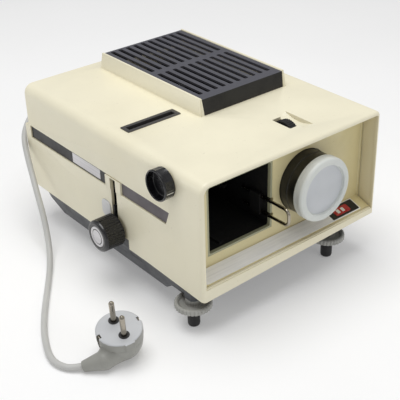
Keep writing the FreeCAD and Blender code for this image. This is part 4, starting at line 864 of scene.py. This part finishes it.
def mains_lead():
    data = bpy.data.curves.new("mains_lead", "CURVE")
    data.dimensions = "3D"
    data.bevel_depth = CORD_RADIUS * MM
    data.bevel_resolution = 6
    data.resolution_u = 10
    data.use_fill_caps = True
    spline = data.splines.new("NURBS")
    spline.points.add(len(CORD_ROUTE) - 1)
    for point, place in zip(spline.points, CORD_ROUTE):
        point.co = (*at(*place), 1.0)
    spline.order_u = 3
    spline.use_endpoint_u = True
    data.materials.append(MAT["cord"])
    lead = bpy.data.objects.new("mains_lead", data)
    bpy.context.scene.collection.objects.link(lead)
    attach(lead, "chassis")
    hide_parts("mains_cord")
    plug()


def gland():
    """Ribbed rubber strain relief."""
    line = [(0, 0, 0), (0, 7.5, 0), (5.6, 7.5, 0.6), (6.4, 6.2, 0.4)]
    rib_count, first_rib, rib_pitch = 5, 7.0, 3.7
    for index in range(rib_count):
        start = first_rib + index * rib_pitch
        radius = 6.0 - index * 0.5
        line += [(start, radius - 0.9, 0.2), (start + 0.8, radius - 0.9, 0.2), (start + 1.0, radius, 0.3),
                 (start + 3.5, radius - 0.45, 0.3)]
    line += [(26.0, 3.6, 0.3), (26.0, 0, 0)]
    shown("strain_relief", turned(rounded(line, 3), (0, 139.0, 97.0), (0, 1, 0), 64), "chassis", "rubber",
          ("cord_gland",))


mains_lead()
gland()

for name, material in {
    "side_label": "label_black", "range_label": "label_dark", "rear_screws": "steel", "rear_feet": "rubber",
    "lens_front_element": "glass", "lens_middle_element": "glass", "lens_rear_element": "glass",
    "lens_retaining_ring": "black_matte", "lens_sleeve": "black_matte", "focus_pinion": "button",
    "focus_shaft": "steel", "focus_bearings": "black_matte", "changer_rod": "dark_metal",
    "pusher_blade": "dark_metal", "switch_stem": "dark_metal", "switch_body": "black_matte",
    "tray_release_bail": "nickel", "bail_bracket": "void", "film_gate": "black_matte",
    "gate_pressure_plate": "black_matte", "lamp_house": "dark_metal", "condenser_lenses": "glass",
    "condenser_holder": "dark_metal", "heat_glass": "glass", "lamp": "glass", "lamp_socket": "ceramic",
    "reflector": "steel", "fan_motor": "iron", "fan_impeller": "fan", "transformer_core": "iron",
    "transformer_coil": "copper", "plug_earth_clips": "nickel", "tray_drive_gear": "black_matte",
}.items():
    kept(name, material)


# ---- studio --------------------------------------------------------------------------------
def area_light(name, place, target, size, power):
    data = bpy.data.lights.new(name, "AREA")
    data.shape = "DISK"
    data.size = size
    data.energy = power
    light = bpy.data.objects.new(name, data)
    bpy.context.scene.collection.objects.link(light)
    aim = Vector(target) - Vector(place)
    turn = aim.to_track_quat("-Z", "Y").to_matrix().to_4x4()
    light.matrix_world = Matrix.Translation(Vector(place)) @ turn


def studio():
    floor = bpy.data.meshes.new("floor")
    reach = 6.0
    floor.from_pydata([(-reach, -reach, 0), (reach, -reach, 0), (reach, reach, 0), (-reach, reach, 0)], [],
                      [(0, 1, 2, 3)])
    ground = bpy.data.objects.new("floor", floor)
    bpy.context.scene.collection.objects.link(ground)
    s = Shader("paper_floor")
    paper = s.mix(s.ramp(s.noise(3.0), 0.3, 0.7), (0.77, 0.77, 0.77, 1), (0.79, 0.79, 0.79, 1))
    s.set(Base_Color=paper, Roughness=0.8, Specular_IOR_Level=0.1, Emission_Color=(1.0, 1.0, 1.0, 1.0),
          Emission_Strength=0.2)
    floor.materials.append(s.material)
    world = bpy.data.worlds.new("studio")
    bpy.context.scene.world = world
    world.use_nodes = True
    world.node_tree.nodes["Background"].inputs["Color"].default_value = (1.0, 1.0, 1.0, 1.0)
    world.node_tree.nodes["Background"].inputs["Strength"].default_value = 0.4
    area_light("top_box", (-0.12, 0.02, 1.5), (0, 0, 0), 1.3, 15.0)
    area_light("side_box", (-1.1, 0.75, 0.45), (0, 0, 0.09), 0.5, 1.0)
    area_light("front_box", (0.25, -1.3, 0.7), (0, 0, 0.09), 0.6, 1.6)


studio()
bpy.context.scene.view_settings.view_transform = "Standard"
